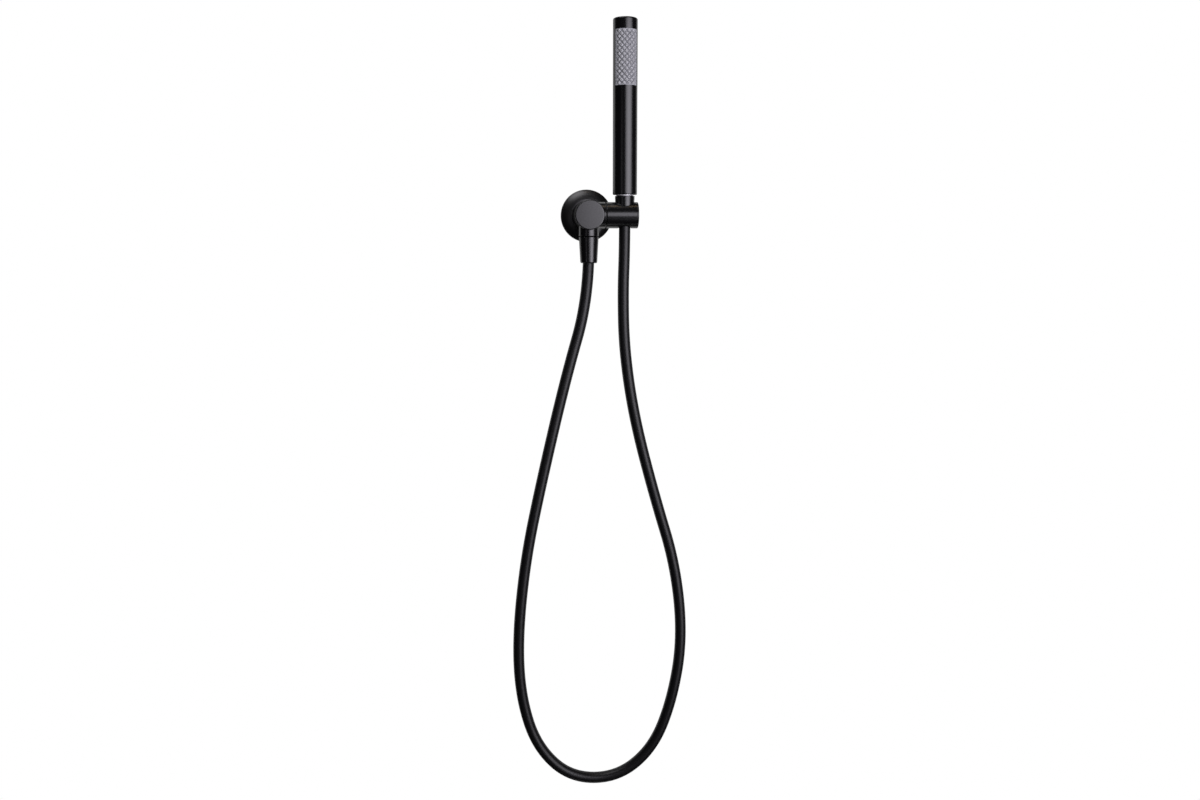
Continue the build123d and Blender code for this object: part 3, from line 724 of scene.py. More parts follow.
@dataclass
class WallOutlet:
    """Domed flange and the body with its boss, collar and inlet thread."""

    flange_rim: float = 2.0
    flange_crown: float = 1.1
    flange_wall: float = 2.0
    flange_hub_wall: float = 3.6
    flange_hub_back: float = 1.5
    flange_play: float = 0.1
    flange_edge: float = 0.6
    dome_points: int = 10
    thread_radius: float = THREAD.radius
    core_depth: float = 1.16
    inlet_bore: float = 6.5
    inlet_chamfer: float = 1.2
    ridge_lead: float = 0.4
    ridge_end: float = -0.6
    body_radius: float = 17.75
    body_back: float = 3.0
    back_edge: float = 0.4
    front_edge: float = 0.7
    face_radius: float = 16.3
    face_bevel: float = 0.28
    boss_radius: float = 15.75
    boss_edge: float = 0.4
    collar_radius: float = 12.0
    collar_drop: float = 25.1
    joint_core: float = 9.2
    joint_margin: float = 0.2
    joint_depth: float = 1.0
    joint_slack: float = 0.01
    pivot_hole: float = 4.05
    pivot_depth: float = 10.0
    valve_radius: float = 7.55
    outlet_bore: float = 5.0

    def __post_init__(self) -> None:
        """Take the places that the frame gives."""
        self.body = Extent.of("outlet_body")
        self.outlet = Vector((0, Extent.of("outlet_nut").middle.y, 0))
        self.front = -self.body.low.y
        self.inlet_length = self.body.high.y
        self.boss_reach = self.body.high.x

    def build(self) -> None:
        """Make and dress the pieces."""
        self.build_flange()
        self.build_body()
        self.build_inlet_thread()

    def build_flange(self) -> None:
        """Turn the domed cover plate with its hub and hollow back."""
        extent = Extent.of("wall_flange")
        rim = extent.high.x
        height = -extent.low.y
        bore = self.body_radius + self.flange_play
        hub = bore + self.flange_hub_wall
        crown = bore + self.flange_wall
        foot = Vector((rim, self.flange_rim))
        slope = Vector((crown, height)) - foot
        bulge = Vector((slope.y, -slope.x)).normalized() * self.flange_crown
        dome = []
        # A parabola over the slope, which rises to the crown's height halfway
        for step in range(1, self.dome_points):
            share = step / self.dome_points
            place = foot + slope * share + bulge * 4 * share * (1 - share)
            dome.append(Corner(place.x, place.y))
        inner = rim - self.flange_wall
        flange = Lathe(ORIGIN, Way.FROM_WALL, LARGE_TURN_STEPS).turn(
            "flange_cover",
            [
                Corner(bore, self.flange_hub_back),
                Corner(hub, self.flange_hub_back, EDGE),
                Corner(hub, height - 2 * self.flange_wall),
                Corner(inner, self.flange_rim / 2),
                Corner(inner, 0, FINE_EDGE),
                Corner(rim, 0, EDGE),
                Corner(rim, self.flange_rim, self.flange_edge),
                *dome,
                Corner(crown, height, self.flange_edge),
                Corner(bore, height, EDGE),
            ],
        )
        COVER_COATING.dress(flange)
        enrol(flange, Body.OUTLET, Slot.COATING, "wall_flange")

    def build_body(self) -> None:
        """Turn barrel, boss and collar, join them and bore the outlet."""
        axis = -self.outlet.y
        core = self.thread_radius - self.core_depth
        barrel = Lathe(ORIGIN, Way.FROM_WALL, LARGE_TURN_STEPS).turn(
            "outlet_casting",
            [
                Corner(0, axis + self.outlet_bore),
                Corner(self.inlet_bore, axis + self.outlet_bore),
                Corner(self.inlet_bore, -self.inlet_length, EDGE),
                Corner(self.thread_radius - self.inlet_chamfer, -self.inlet_length, EDGE),
                Corner(core, -self.inlet_length + self.inlet_chamfer),
                Corner(core, self.body_back),
                Corner(self.body_radius, self.body_back, self.back_edge),
                Corner(self.body_radius, self.front - self.face_bevel, self.front_edge),
                Corner(self.face_radius, self.front),
                Corner(0, self.front),
            ],
        )
        boss = Lathe(self.outlet, Way.ALONG_HOLDER).turn(
            "boss",
            [
                Corner(0, self.boss_reach - self.pivot_depth),
                Corner(self.pivot_hole, self.boss_reach - self.pivot_depth),
                Corner(self.pivot_hole, self.boss_reach),
                Corner(self.boss_radius, self.boss_reach, self.boss_edge),
                Corner(self.boss_radius, 0),
                Corner(0, 0),
            ],
        )
        collar_end = -self.collar_drop
        thread_end = self.body.low.z
        nut_top = Extent.of("outlet_nut").high.z
        collar = Lathe(self.outlet, Way.UP).turn(
            "collar",
            [
                Corner(0, thread_end),
                Corner(self.thread_radius, thread_end, EDGE),
                Corner(self.thread_radius, nut_top - self.joint_margin),
                Corner(self.joint_core, (nut_top + collar_end) / 2),
                Corner(self.thread_radius, collar_end),
                Corner(self.collar_radius, collar_end, self.boss_edge),
                Corner(self.collar_radius, 0),
                Corner(0, 0),
            ],
        )
        valve_top = Extent.of("check_valve_cage").high.z
        bore = Lathe(self.outlet, Way.UP, SMALL_TURN_STEPS).turn(
            "outlet_bore",
            [
                Corner(0, thread_end - CUT_MARGIN),
                Corner(self.valve_radius, thread_end - CUT_MARGIN),
                Corner(self.valve_radius, valve_top),
                Corner(self.outlet_bore, valve_top),
                Corner(self.outlet_bore, 0),
                Corner(0, 0),
            ],
        )
        combine(barrel, boss, Act.JOIN)
        combine(barrel, collar, Act.JOIN)
        combine(barrel, bore, Act.CUT)
        close_mesh(barrel)
        COATING.dress(barrel)
        # The inlet spigot behind the shoulder is left uncoated, and the joint between collar and nut gets
        # painted shade: a darker, dull, weakly reflecting lacquer.
        coat_where(barrel, BRASS, lambda middle: middle.y > -self.body_back * MM)
        joint_low = (nut_top - self.joint_depth) * MM
        joint_high = (collar_end - self.joint_slack) * MM
        coat_where(barrel, JOINT_SHADE, lambda middle: joint_low < middle.z < joint_high)
        enrol(barrel, Body.OUTLET, Slot.COATING, "outlet_body")

    def build_inlet_thread(self) -> None:
        """Wind the ridge of the pipe thread on the spigot."""
        start = -self.inlet_length + self.inlet_chamfer + self.ridge_lead
        lathe = Lathe(ORIGIN, Way.FROM_WALL)
        ridge = THREAD.ridge("inlet_thread_ridge", lathe, start, self.ridge_end)
        BRASS.dress(ridge)
        enrol(ridge, Body.OUTLET, Slot.BRASS)


@dataclass
class Holder:
    """Cross cylinder with the tapered socket and hose slot, and its end cap."""

    radius: float = 15.75
    edge: float = 0.4
    line: float = 0.35
    cap_edge: float = 0.8
    pivot_bore: float = 5.1
    passage: float = 7.4
    web: float = 6.8
    cap_plug_short: float = 0.7
    far_wall: float = 2.7
    socket_play: float = 0.1
    hose_hole: float = 8.6
    slot_width: float = 15.5
    soft_edge: float = 0.2
    fit: float = 0.05

    def __post_init__(self) -> None:
        """Take the places that the frame gives."""
        self.extent = Extent.of("holder")
        self.nut = Extent.of("handset_nut")
        self.axis_y = self.nut.middle.y
        self.lathe = Lathe(Vector((0, self.axis_y, 0)), Way.ALONG_HOLDER, LARGE_TURN_STEPS)

    def build(self) -> None:
        """Make and dress the pieces."""
        self.build_cylinder()
        self.build_cap()

    def socket_radius(self, height: float) -> float:
        """Radius of the tapered socket, which follows the nut with its play.

        Args:
            height: height above the holder's axis.

        Returns:
            The radius at that height.
        """
        top_radius = (self.nut.high.x - self.nut.low.x) / 2
        share = (self.nut.high.z - height) / (self.nut.high.z - self.nut.low.z)
        return top_radius - (top_radius - HoseNut.end_radius) * share + self.socket_play

    def build_cylinder(self) -> None:
        """Turn the cylinder, cut socket and slot, and ease the edges."""
        start = self.extent.low.x
        end = self.extent.high.x
        cylinder = self.lathe.turn(
            "holder_cylinder",
            [
                Corner(self.pivot_bore, start),
                Corner(self.radius, start, self.edge),
                Corner(self.radius, end, self.line),
                Corner(self.passage, end),
                Corner(self.passage, start + self.web),
                Corner(self.pivot_bore, start + self.web),
            ],
        )
        top = self.radius + CUT_MARGIN
        ledge = self.nut.low.z - self.socket_play
        socket = Lathe(Vector((self.nut.middle.x, self.axis_y, 0)), Way.UP).turn(
            "socket",
            [
                Corner(0, top),
                Corner(self.socket_radius(top), top),
                Corner(self.socket_radius(ledge), ledge),
                Corner(self.hose_hole, ledge),
                Corner(self.hose_hole, -top),
                Corner(0, -top),
            ],
        )
        combine(cylinder, socket, Act.CUT)
        combine(cylinder, self.slot_tool(top), Act.CUT)
        close_mesh(cylinder)
        ease_edges(cylinder, self.soft_edge)
        COATING.dress(cylinder)
        enrol(cylinder, Body.HOLDER, Slot.COATING, "holder")

    def slot_tool(self, top: float) -> Object:
        """Block that cuts the slot for the hose, from the socket's middle out to the back.

        Args:
            top: height of its upper end, and its depth below the holder's axis.

        Returns:
            The closed mesh.
        """
        deselect_all()
        middle = Vector((self.nut.middle.x, self.axis_y + self.radius / 2 + CUT_MARGIN, 0))
        bpy.ops.mesh.primitive_cube_add(size=1, location=middle * MM)
        block = bpy.context.object
        block.scale = Vector((self.slot_width, self.radius + 2 * CUT_MARGIN, 2 * top)) * MM
        bpy.ops.object.transform_apply()
        return block

    def build_cap(self) -> None:
        """Turn the cap that closes the pivot screw's passage."""
        extent = Extent.of("holder_end_cap")
        face = self.extent.high.x
        plug = self.passage - self.fit
        plug_start = face - self.far_wall + self.cap_plug_short
        cap = self.lathe.turn(
            "end_cap",
            [
                Corner(0, plug_start),
                Corner(plug, plug_start, EDGE),
                Corner(plug, face),
                Corner(self.radius, face, self.line),
                Corner(self.radius, extent.high.x, self.cap_edge),
                Corner(0, extent.high.x),
            ],
        )
        COATING.dress(cap)
        enrol(cap, Body.HOLDER, Slot.COATING, "holder_end_cap")


@dataclass
class SprayFace:
    """Curved silicone panel with the lattice of nozzles, in the stick's window."""

    lathe: Lathe
    stick_radius: float
    low: float
    high: float
    facing: float = -90.0
    recess: float = 0.2
    gap: float = 0.1
    back: float = 12.95
    half_angle: float = 61.0
    corner: float = 0.7
    corner_steps: int = 6
    steps: int = 84
    cuts: int = 150
    columns: int = 7
    column_angle: float = 12.4
    rows: int = 10
    row_pitch: float = 6.6
    valley: float = 1.0
    valley_share: float = 0.5
    rim: float = 1.2
    rim_slope: float = 0.5
    border_columns: float = 0.4
    border_share: float = 0.7
    nub_base: float = 1.7
    nub_root: float = 0.2
    nub_tip: float = 1.1
    nub_height: float = 0.8
    nub_sides: int = 16
    # Steps of a nozzle from its side to its tip: how far below the tip, and how much slimmer than its side
    nub_steps: tuple[tuple[float, float], ...] = ((0.2, 0.0), (0.05, 0.08), (0.0, 0.24))
    jet: float = 0.42
    jet_end: float = 0.8
    jet_depth: float = 0.7

    @property
    def front(self) -> float:
        """Radius of the panel's face."""
        return self.stick_radius - self.recess

    def block(self, name: str, inner: float, outer: float, margin: float, cuts: int = 0) -> Object:
        """Curved block as large as the window less a margin, with round corners.

        Args:
            name: name of the new piece.
            inner: radius of its back.
            outer: radius of its front.
            margin: how far it stays inside the window's edge.
            cuts: how often its front is divided over the height.

        Returns:
            The closed mesh.
        """
        half = self.half_angle - math.degrees(margin / self.stick_radius)
        low = self.low + margin
        high = self.high - margin
        corner = self.corner - margin
        turn = math.degrees(corner / self.stick_radius)
        profile = [Corner(inner, low), Corner(outer, low), Corner(outer, high), Corner(inner, high)]
        piece = self.lathe.draw(name, profile)
        if cuts:
            select_vertices(piece, [self.lathe.point(place) for place in profile[1:3]])
            bpy.ops.mesh.subdivide(number_cuts=cuts)
        bpy.ops.mesh.select_all(action="SELECT")
        side = (turn, self.corner_steps)
        for angle, steps in (side, (2 * (half - turn), self.steps), side):
            self.lathe.spin(angle, steps)
        bpy.ops.mesh.select_all(action="SELECT")
        bpy.ops.mesh.fill_holes(sides=0)
        bpy.ops.object.mode_set(mode="OBJECT")
        self.round_corners(piece, half, low, high, corner)
        return piece

    def round_corners(self, piece: Object, half: float, low: float, high: float, corner: float) -> None:
        """Turn the block to face the room and draw its ends in along quarter circles.

        Args:
            piece: the block, spun from the X direction.
            half: half of its angle in degrees.
            low: height of its lower end.
            high: height of its upper end.
            corner: radius of the quarter circles.
        """
        middle = (low + high) / 2
        for vertex in piece.data.vertices:
            radius, angle, height = self.polar(vertex.co)
            angle %= 360
            near = math.radians(min(angle, 2 * half - angle)) * self.stick_radius
            if near < corner:
                drawn = corner - math.sqrt(max(corner**2 - (corner - near) ** 2, 0))
                share = 1 - drawn / (middle - low)
                height = middle + (height - middle) * share
            vertex.co = self.place(radius, angle - half + self.facing, height)

    def polar(self, point: Vector) -> tuple[float, float, float]:
        """Radius, angle in degrees and height of a point about the stick's axis."""
        across = point / MM - self.lathe.centre
        return math.hypot(across.x, across.y), math.degrees(math.atan2(across.y, across.x)), across.z

    def place(self, radius: float, angle: float, height: float) -> Vector:
        """Point about the stick's axis.

        Args:
            radius: distance from the axis in millimetres.
            angle: angle from the X direction in degrees.
            height: height in millimetres.

        Returns:
            The point in metres.
        """
        turn = math.radians(angle)
        offset = Vector((radius * math.cos(turn), radius * math.sin(turn), height))
        return (self.lathe.centre + offset) * MM

    def sites(self) -> list[tuple[float, float]]:
        """Places of the nozzles, in columns that are staggered by half a row.

        Returns:
            Angle from the middle of the face, and height, of each nozzle.
        """
        middle = (self.low + self.high) / 2
        found = []
        for column in range(self.columns):
            angle = (column - (self.columns - 1) / 2) * self.column_angle
            rows = self.rows - column % 2
            found += [(angle, middle + (row - (rows - 1) / 2) * self.row_pitch) for row in range(rows)]
        return found

    def build(self) -> None:
        """Make the panel, emboss it, set the nozzles on it and dress it."""
        panel = self.block("spray_panel", self.back, self.front, self.gap, self.cuts)
        self.emboss(panel)
        close_mesh(panel)
        ease_edges(panel, FINE_EDGE)
        SILICONE.dress(panel)
        self.add_nozzles(panel)
        enrol(panel, Body.HANDSET, Slot.SILICONE, "spray_face")

    def emboss(self, panel: Object) -> None:
        """Sink diagonal valleys between the nozzles, inside a plain rim.

        Args:
            panel: the plain panel, which also gets the depth as an attribute that masks the painted shade of
                its valleys.
        """
        side = math.radians(self.half_angle) * self.front - self.rim
        middle = (self.low + self.high) / 2
        end = (self.high - self.low) / 2 - self.rim
        depth = panel.data.attributes.new(SILICONE.shade_mask_name, "FLOAT", "POINT")
        for vertex in panel.data.vertices:
            radius, angle, height = self.polar(vertex.co)
            if radius < self.front - self.gap:
                continue
            angle = (angle - self.facing + 180) % 360 - 180
            across = math.radians(abs(angle)) * self.front
            inside = min(side - across, end - abs(height - middle))
            column = angle / self.column_angle
            row = (height - middle) / (self.row_pitch / 2)
            pillow = min(self.ridge(column + row), self.ridge(column - row))
            if abs(column) > (self.columns - 1) / 2 + self.border_columns:
                pillow *= self.border_share
            sunk = self.soft_step((self.valley_share - pillow) / self.valley_share)
            share = sunk * self.soft_step(inside / self.rim_slope)
            depth.data[vertex.index].value = share
            vertex.co = self.place(radius - self.valley * share, angle + self.facing, height)

    @staticmethod
    def ridge(place: float) -> float:
        """One at an even place, where a row of nozzles runs, and zero at an odd one, midway between rows."""
        return abs(place % 2 - 1)

    @staticmethod
    def soft_step(share: float) -> float:
        """Smooth rise from 0 to 1."""
        held = min(max(share, 0.0), 1.0)
        return held * held * (3 - 2 * held)

    def nub(self) -> Object:
        """One nozzle about the X axis of the stick, with its jet sunk in the tip.

        Returns:
            The closed mesh in its finishes.
        """
        deselect_all()
        root = self.front - self.nub_root
        tip = self.front + self.nub_height
        bpy.ops.mesh.primitive_circle_add(
            vertices=self.nub_sides,
            radius=self.nub_base * MM,
            fill_type="NGON",
            location=(root * MM, 0, 0),
            rotation=(0, math.radians(90), 0),
        )
        nub = bpy.context.object
        bpy.ops.object.transform_apply()
        bpy.ops.object.mode_set(mode="EDIT")
        bpy.ops.mesh.select_all(action="SELECT")
        stages = [(tip - below, self.nub_tip - slimmer) for below, slimmer in self.nub_steps]
        stages += [(tip, self.jet), (tip - self.jet_depth, self.jet * self.jet_end)]
        height = root
        radius = self.nub_base
        for level, size in stages:
            bpy.ops.mesh.extrude_region_move(TRANSFORM_OT_translate={"value": ((level - height) * MM, 0, 0)})
            share = size / radius
            bpy.ops.transform.resize(value=(1, share, share), center_override=(level * MM, 0, 0))
            height, radius = level, size
        bpy.ops.object.mode_set(mode="OBJECT")
        close_mesh(nub)
        SILICONE.dress(nub)
        # The nozzles take the lighter silicone as painted light, and their jets the dark one as painted
        # shade.
        coat_where(nub, LIT_SILICONE_TIP, lambda middle: middle.yz.length >= self.jet * MM)
        coat_where(nub, JET_HOLE, lambda middle: middle.yz.length < self.jet * MM)
        return nub

    def add_nozzles(self, panel: Object) -> None:
        """Copy the nub to every site and join the copies to the panel.

        Args:
            panel: the embossed panel.
        """
        nub = self.nub()
        copies = []
        for angle, height in self.sites():
            copy = nub.copy()
            copy.data = nub.data.copy()
            bpy.context.collection.objects.link(copy)
            copy.location = (self.lathe.centre + Vector((0, 0, height))) * MM
            copy.rotation_euler = (0, 0, math.radians(angle + self.facing))
            copies.append(copy)
        make_active(nub)
        bpy.ops.object.delete()
        deselect_all()
        for copy in copies:
            copy.select_set(True)
        bpy.context.view_layer.objects.active = copies[0]
        bpy.ops.object.transform_apply()
        panel.select_set(True)
        bpy.context.view_layer.objects.active = panel
        bpy.ops.object.join()


@dataclass
class Handset:
    """Stick with its closed top and spray window, and the bright connector in its foot."""

    wall: float = 1.8
    top_wall: float = 2.5
    top_edge: float = 1.8
    end_edge: float = 1.2
    window_top_gap: float = 13.5
    window_height: float = 64.5
    window_edge: float = 0.6
    thread_radius: float = THREAD.radius
    neck_bore: float = 4.5
    neck_edge: float = 0.6
    plug_recess: float = 0.8
    plug_edge: float = 0.4
    # Groove where the neck's thread runs out: its depth, its ends above the nut, and how far its sides slope
    groove: float = 0.5
    groove_low: float = -1.0
    groove_high: float = 0.2
    groove_fade: float = 0.4
    groove_rise: float = 0.3
    groove_edge: float = 0.15

    def __post_init__(self) -> None:
        """Take the places that the frame gives."""
        self.extent = Extent.of("handset_tube")
        self.radius = (self.extent.high.x - self.extent.low.x) / 2
        centre = Vector((self.extent.middle.x, self.extent.middle.y, 0))
        self.lathe = Lathe(centre, Way.UP, LARGE_TURN_STEPS)
        window_top = self.extent.high.z - self.window_top_gap
        self.face = SprayFace(
            lathe=self.lathe,
            stick_radius=self.radius,
            low=window_top - self.window_height,
            high=window_top,
        )

    def build(self) -> None:
        """Make and dress the pieces."""
        self.build_stick()
        self.face.build()
        self.build_connector()

    def build_stick(self) -> None:
        """Turn the tube and cut the window."""
        end = self.extent.low.z
        top = self.extent.high.z
        bore = self.radius - self.wall
        stick = self.lathe.turn(
            "stick_tube",
            [
                Corner(0, top - self.top_wall),
                Corner(bore, top - self.top_wall),
                Corner(bore, end, EDGE),
                Corner(self.radius, end, self.end_edge),
                Corner(self.radius, top, self.top_edge),
                Corner(0, top),
            ],
        )
        window = self.face.block("window", bore - CUT_MARGIN, self.radius + CUT_MARGIN, 0)
        close_mesh(window)
        combine(stick, window, Act.CUT)
        close_mesh(stick)
        ease_edges(stick, self.window_edge)
        COATING.dress(stick)
        enrol(stick, Body.HANDSET, Slot.COATING, "handset_tube")

    def build_connector(self) -> None:
        """Turn the bright plug and neck, with the groove where its thread runs out."""
        extent = Extent.of("handset_connector")
        plug = (extent.high.x - extent.low.x) / 2
        shoulder = self.extent.low.z + self.plug_recess
        nut_top = Extent.of("handset_nut").high.z
        groove_low = nut_top + self.groove_low
        groove_high = nut_top + self.groove_high
        groove_radius = self.thread_radius - self.groove
        connector = self.lathe.turn(
            "connector_neck",
            [
                Corner(self.neck_bore, extent.low.z, EDGE),
                Corner(self.thread_radius, extent.low.z, self.neck_edge),
                Corner(self.thread_radius, groove_low - self.groove_fade),
                Corner(groove_radius, groove_low),
                Corner(groove_radius, groove_high),
                Corner(self.thread_radius, groove_high + self.groove_rise, self.groove_edge),
                Corner(self.thread_radius, shoulder),
                Corner(plug, shoulder, FINE_EDGE),
                Corner(plug, extent.high.z, self.plug_edge),
                Corner(self.neck_bore, extent.high.z, EDGE),
            ],
        )
        PLATING.dress(connector)
        enrol(connector, Body.HANDSET, Slot.PLATING, "handset_connector")


@dataclass
class Hose:
    """Smooth hose that hangs in one loop from the outlet to the holder."""

    diameter: float = 14.0
    # Points of the route across and up, from the outlet's nut to the handset's nut
    route: list[tuple[float, float]] = field(
        default_factory=lambda: [
            (0, -38.5), (0, -99), (-29, -199), (-60, -330), (-81, -430), (-92, -535), (-88, -614),
            (-68, -680), (-25, -724), (36, -727), (83, -689), (108, -624), (121, -540), (111, -442),
            (83, -350), (57, -251), (44, -166), (42, -95), (43.932, -39), (43.932, 3.95),
        ]
    )
    order: int = 3
    divisions: int = 12
    sides: int = 10
    # The stretch under the holder that bends when the holder tilts: from this point, by this slanted step
    bend_start: tuple[float, float] = (44.0, -82.0)
    bend_step: tuple[float, float] = (32.9, 30.3)

    def line(self) -> Object:
        """Curve object with the route's points as control points of one smooth spline.

        Returns:
            The bare line, with no thickness yet.
        """
        depth = Extent.of("hose").middle.y
        curve = bpy.data.curves.new("hose_line", "CURVE")
        curve.dimensions = "3D"
        curve.resolution_u = self.divisions
        spline = curve.splines.new("NURBS")
        spline.points.add(len(self.route) - 1)
        for point, (across, up) in zip(spline.points, self.route):
            point.co = (across * MM, depth * MM, up * MM, 1)
        spline.order_u = self.order
        spline.use_endpoint_u = True
        line = bpy.data.objects.new("hose_line", curve)
        bpy.context.collection.objects.link(line)
        return line

    def build(self) -> None:
        """Make the tube along the spline, dress it, hide the solid and log its length."""
        line = self.line()
        bpy.context.view_layer.update()
        followed = bpy.data.meshes.new_from_object(line)
        path = [vertex.co.copy() for vertex in followed.vertices]
        bpy.data.meshes.remove(followed)
        length = sum((after - before).length for before, after in zip(path, path[1:]))
        line.data.bevel_depth = self.diameter / 2 * MM
        line.data.bevel_resolution = self.sides
        line.data.use_fill_caps = True
        make_active(line)
        bpy.ops.object.convert(target="MESH")
        hose = bpy.context.object
        hose.name = hose.data.name = "hose_tube"
        close_mesh(hose)
        replace(HOSE_SKIN, girth=math.pi * self.diameter, length=length / MM).dress(hose)
        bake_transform(hose)
        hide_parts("hose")
        LOG.info("%s is %.0f mm long", hose.name, length / MM)


@dataclass
class ValveSpring:
    """Closing spring of the check valve, which shortens as the poppet opens."""

    node: str = "check_valve_spring"
    joint: str = "check_valve_lift"
    wire: float = 0.6
    turns: int = 3
    sides: int = 8

    def build(self) -> None:
        """Wind the wire, dress it and put it on the outlet."""
        extent = Extent.of(self.node)
        height = extent.high.z - extent.low.z
        radius = extent.high.x - extent.middle.x - self.wire / 2
        angles = [math.tau * side / self.sides for side in range(self.sides)]
        section = [
            Corner(
                radius + self.wire / 2 * math.cos(angle),
                extent.low.z + self.wire / 2 * (1 + math.sin(angle)),
            )
            for angle in angles
        ]
        lathe = Lathe(Vector((extent.middle.x, extent.middle.y, 0)), Way.UP)
        spring = Lathe(ORIGIN, Way.UP).draw("valve_spring_coil", section)
        wind(spring, lathe, (height - self.wire) / self.turns, self.turns)
        STEEL.dress(spring)
        enrol(spring, Body.OUTLET, Slot.STEEL, self.node)
        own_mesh(spring)


@dataclass
class InnerPieces:
    """Finishes of the pieces inside, which keep the frame's own meshes."""

    finishes: dict[str, Finish] = field(
        default_factory=lambda: {
            "flange_seal": RUBBER,
            "check_valve_cage": ACETAL,
            "check_valve_seal": RUBBER,
            "check_valve_poppet": ACETAL,
            "friction_washer": NYLON,
            "spring_washer": STEEL,
            "pivot_screw": STEEL,
            "outlet_washer": RUBBER,
            "outlet_hose_tail": BRASS,
            "outlet_ferrule": STEEL,
            "handset_washer": RUBBER,
            "swivel_bush": ACETAL,
            "handset_hose_tail": BRASS,
            "swivel_seal": RUBBER,
            "handset_ferrule": STEEL,
            "spray_carrier": ACETAL,
            "water_tube": ACETAL,
            "water_tube_seals": RUBBER,
            "connector_seal": RUBBER,
            "flow_regulator": ACETAL,
        }
    )

    def build(self) -> None:
        """Dress each solid."""
        for node, finish in self.finishes.items():
            finish.dress(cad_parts[node])
            LOG.info("%s in %s", node, finish.name)


# Studio

# Power of a lamp of one square metre at a radiance of one
LAMP_WATTS = 4.0


@dataclass(frozen=True)
class Softbox:
    """Rectangular lamp at a place, facing a point, in metres."""

    name: str
    place: tuple[float, float, float]
    aim: tuple[float, float, float]
    width: float
    height: float
    radiance: float
    colour: str = "#ffffff"
    spread: float = 180.0

    def build(self) -> None:
        """Hang the lamp."""
        out = Vector(self.place) - Vector(self.aim)
        deselect_all()
        bpy.ops.object.light_add(type="AREA", location=self.place)
        lamp = bpy.context.object
        lamp.name = self.name
        lamp.rotation_euler = out.to_track_quat("Z", "Y").to_euler()
        lamp.data.shape = "RECTANGLE"
        lamp.data.size = self.width
        lamp.data.size_y = self.height
        lamp.data.energy = LAMP_WATTS * self.width * self.height * self.radiance
        lamp.data.color = linear(self.colour)[:3]
        lamp.data.spread = math.radians(self.spread)


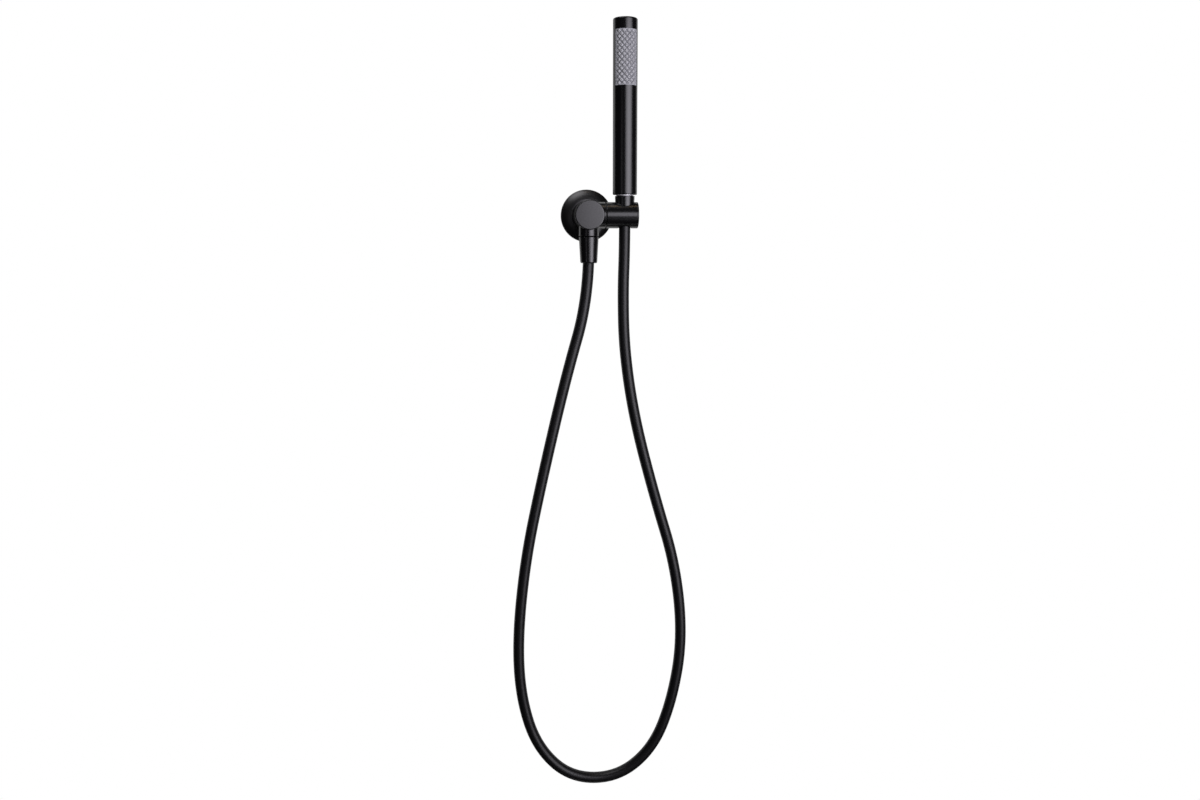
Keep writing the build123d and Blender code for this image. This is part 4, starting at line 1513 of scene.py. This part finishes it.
@dataclass
class Studio:
    """Camera at the photograph's viewpoint, pale floor, white surroundings and soft lamps."""

    camera_place: tuple[float, float, float] = (-113.9, -1321.8, -37.6)
    camera_yaw: float = 5.652
    camera_pitch: float = 8.28
    focal_pixels: float = 1054.34
    image_width: float = 1200.0
    sensor_width: float = 36.0
    floor_height: float = -3.0
    floor_radius: float = 0.4
    floor_sides: int = 96
    floor_colour: str = "#ececec"
    floor_roughness: float = 0.9
    # How far the floor looks white to the camera and in reflections
    floor_white: float = 0.95
    ambient: float = 0.2
    # How bright reflections see the surroundings, from beside the object (0) to straight behind it (1)
    gloss_levels: tuple[tuple[float, float], ...] = ((0.4, 0.012), (0.6, 0.8), (0.8, 0.8), (0.97, 0.3))
    softboxes: tuple[Softbox, ...] = (
        Softbox(
            "key_softbox", place=(0.8, -1.415, 0.18), aim=(0.02, -0.03, 0.0),
            width=1.78, height=0.95, radiance=0.8, colour="#f8f5ff", spread=85.0,
        ),
        Softbox(
            "low_softbox", place=(0.9, -1.25, -0.62), aim=(0.05, -0.03, -0.25),
            width=0.85, height=0.95, radiance=2.8, colour="#f8f5ff",
        ),
        Softbox(
            "left_softbox", place=(-0.5, -0.36, 1.38), aim=(0.0, 0.0, 0.0),
            width=0.95, height=1.0, radiance=2.5, colour="#fdfbff",
        ),
        Softbox(
            "left_strip", place=(-0.84, -1.24, -0.1), aim=(0.0, -0.03, 0.0),
            width=0.2, height=0.8, radiance=0.45, colour="#f8f5ff",
        ),
        Softbox(
            "ceiling_strip", place=(0.36, -0.2, 1.5), aim=(0.36, -0.2, 0.0),
            width=0.6, height=0.12, radiance=2.0, colour="#ffd9a0",
        ),
    )

    def build(self) -> None:
        """Set up the whole studio."""
        bpy.context.scene.view_settings.view_transform = "Standard"
        self.build_camera()
        self.build_floor()
        self.build_world()
        for softbox in self.softboxes:
            softbox.build()

    def build_camera(self) -> None:
        """Place the camera."""
        deselect_all()
        bpy.ops.object.camera_add(
            location=Vector(self.camera_place) * MM,
            rotation=(math.radians(90 - self.camera_pitch), 0, math.radians(-self.camera_yaw)),
        )
        camera = bpy.context.object
        camera.name = "photo_camera"
        camera.data.sensor_width = self.sensor_width
        camera.data.lens = self.sensor_width * self.focal_pixels / self.image_width
        bpy.context.scene.camera = camera

    def build_floor(self) -> None:
        """Lay a round pale floor under the object, out of the camera's view."""
        deselect_all()
        bpy.ops.mesh.primitive_circle_add(
            vertices=self.floor_sides,
            radius=self.floor_radius,
            fill_type="NGON",
            location=(0, 0, self.floor_height),
        )
        floor = bpy.context.object
        floor.name = "studio_floor"
        made = bpy.data.materials.new("pale_floor")
        made.use_nodes = True
        tree = made.node_tree
        output = tree.nodes["Material Output"]
        paint = tree.nodes["Principled BSDF"]
        paint.inputs["Base Color"].default_value = linear(self.floor_colour)
        paint.inputs["Roughness"].default_value = self.floor_roughness
        white = add_node(tree, "ShaderNodeEmission", {"Strength": 1.0})
        camera, mirrored = self.rays(tree)
        seen = add_node(tree, "ShaderNodeMath", {0: camera, 1: mirrored}, operation="MAXIMUM").outputs[0]
        share = add_node(tree, "ShaderNodeMath", {0: seen, 1: self.floor_white}, operation="MULTIPLY")
        mixed = add_node(
            tree, "ShaderNodeMixShader", {0: share.outputs[0], 1: paint.outputs[0], 2: white.outputs[0]}
        )
        tree.links.new(mixed.outputs[0], output.inputs["Surface"])
        floor.data.materials.append(made)

    @staticmethod
    def rays(tree: NodeTree) -> tuple[NodeSocket, NodeSocket]:
        """Kinds of ray that show white, each one or zero.

        Args:
            tree: the nodes of a material or of the world.

        Returns:
            Whether the camera looks, and whether a reflection or a refraction does.
        """
        path = add_node(tree, "ShaderNodeLightPath").outputs
        mirrored = add_node(
            tree,
            "ShaderNodeMath",
            {0: path["Is Glossy Ray"], 1: path["Is Transmission Ray"]},
            operation="MAXIMUM",
        )
        return path["Is Camera Ray"], mirrored.outputs[0]

    def build_world(self) -> None:
        """White background, which reflections show only behind the object, and grey light around it."""
        world = bpy.data.worlds.new("white_studio")
        bpy.context.scene.world = world
        world.use_nodes = True
        tree = world.node_tree
        tree.nodes.clear()
        camera, mirrored = self.rays(tree)
        way = add_node(tree, "ShaderNodeTexCoord").outputs["Generated"]
        depth = add_node(tree, "ShaderNodeSeparateXYZ", {0: way}).outputs["Y"]
        ramp = add_node(tree, "ShaderNodeValToRGB", {"Fac": depth})
        stops = ramp.color_ramp.elements
        for place, level in self.gloss_levels[1:-1]:
            stops.new(place).color = (level, level, level, 1.0)
        for stop, (place, level) in ((stops[0], self.gloss_levels[0]), (stops[-1], self.gloss_levels[-1])):
            stop.position = place
            stop.color = (level, level, level, 1.0)
        around = add_node(
            tree,
            "ShaderNodeMix",
            {MIX_SHARE: mirrored, MIX_NUMBER_A: self.ambient, MIX_NUMBER_B: ramp.outputs["Color"]},
        ).outputs[MIX_NUMBER_OUT]
        strength = add_node(
            tree, "ShaderNodeMix", {MIX_SHARE: camera, MIX_NUMBER_A: around, MIX_NUMBER_B: 1.0}
        ).outputs[MIX_NUMBER_OUT]
        white = add_node(tree, "ShaderNodeBackground", {"Color": linear("#ffffff"), "Strength": strength})
        output = add_node(tree, "ShaderNodeOutputWorld")
        tree.links.new(white.outputs[0], output.inputs["Surface"])


def main() -> None:
    """Build the sub-assemblies in order, then the studio."""
    logging.basicConfig(level=logging.INFO, format="%(message)s")
    assemblies = [
        WallOutlet(),
        HoseNut("outlet_nut", Body.OUTLET),
        Holder(),
        HoseNut("handset_nut", Body.HANDSET),
        Handset(),
        Hose(),
        ValveSpring(),
        InnerPieces(),
        Studio(),
    ]
    for assembly in assemblies:
        assembly.build()
        LOG.info("%s is done", type(assembly).__name__)


if __name__ == "__main__":
    main()
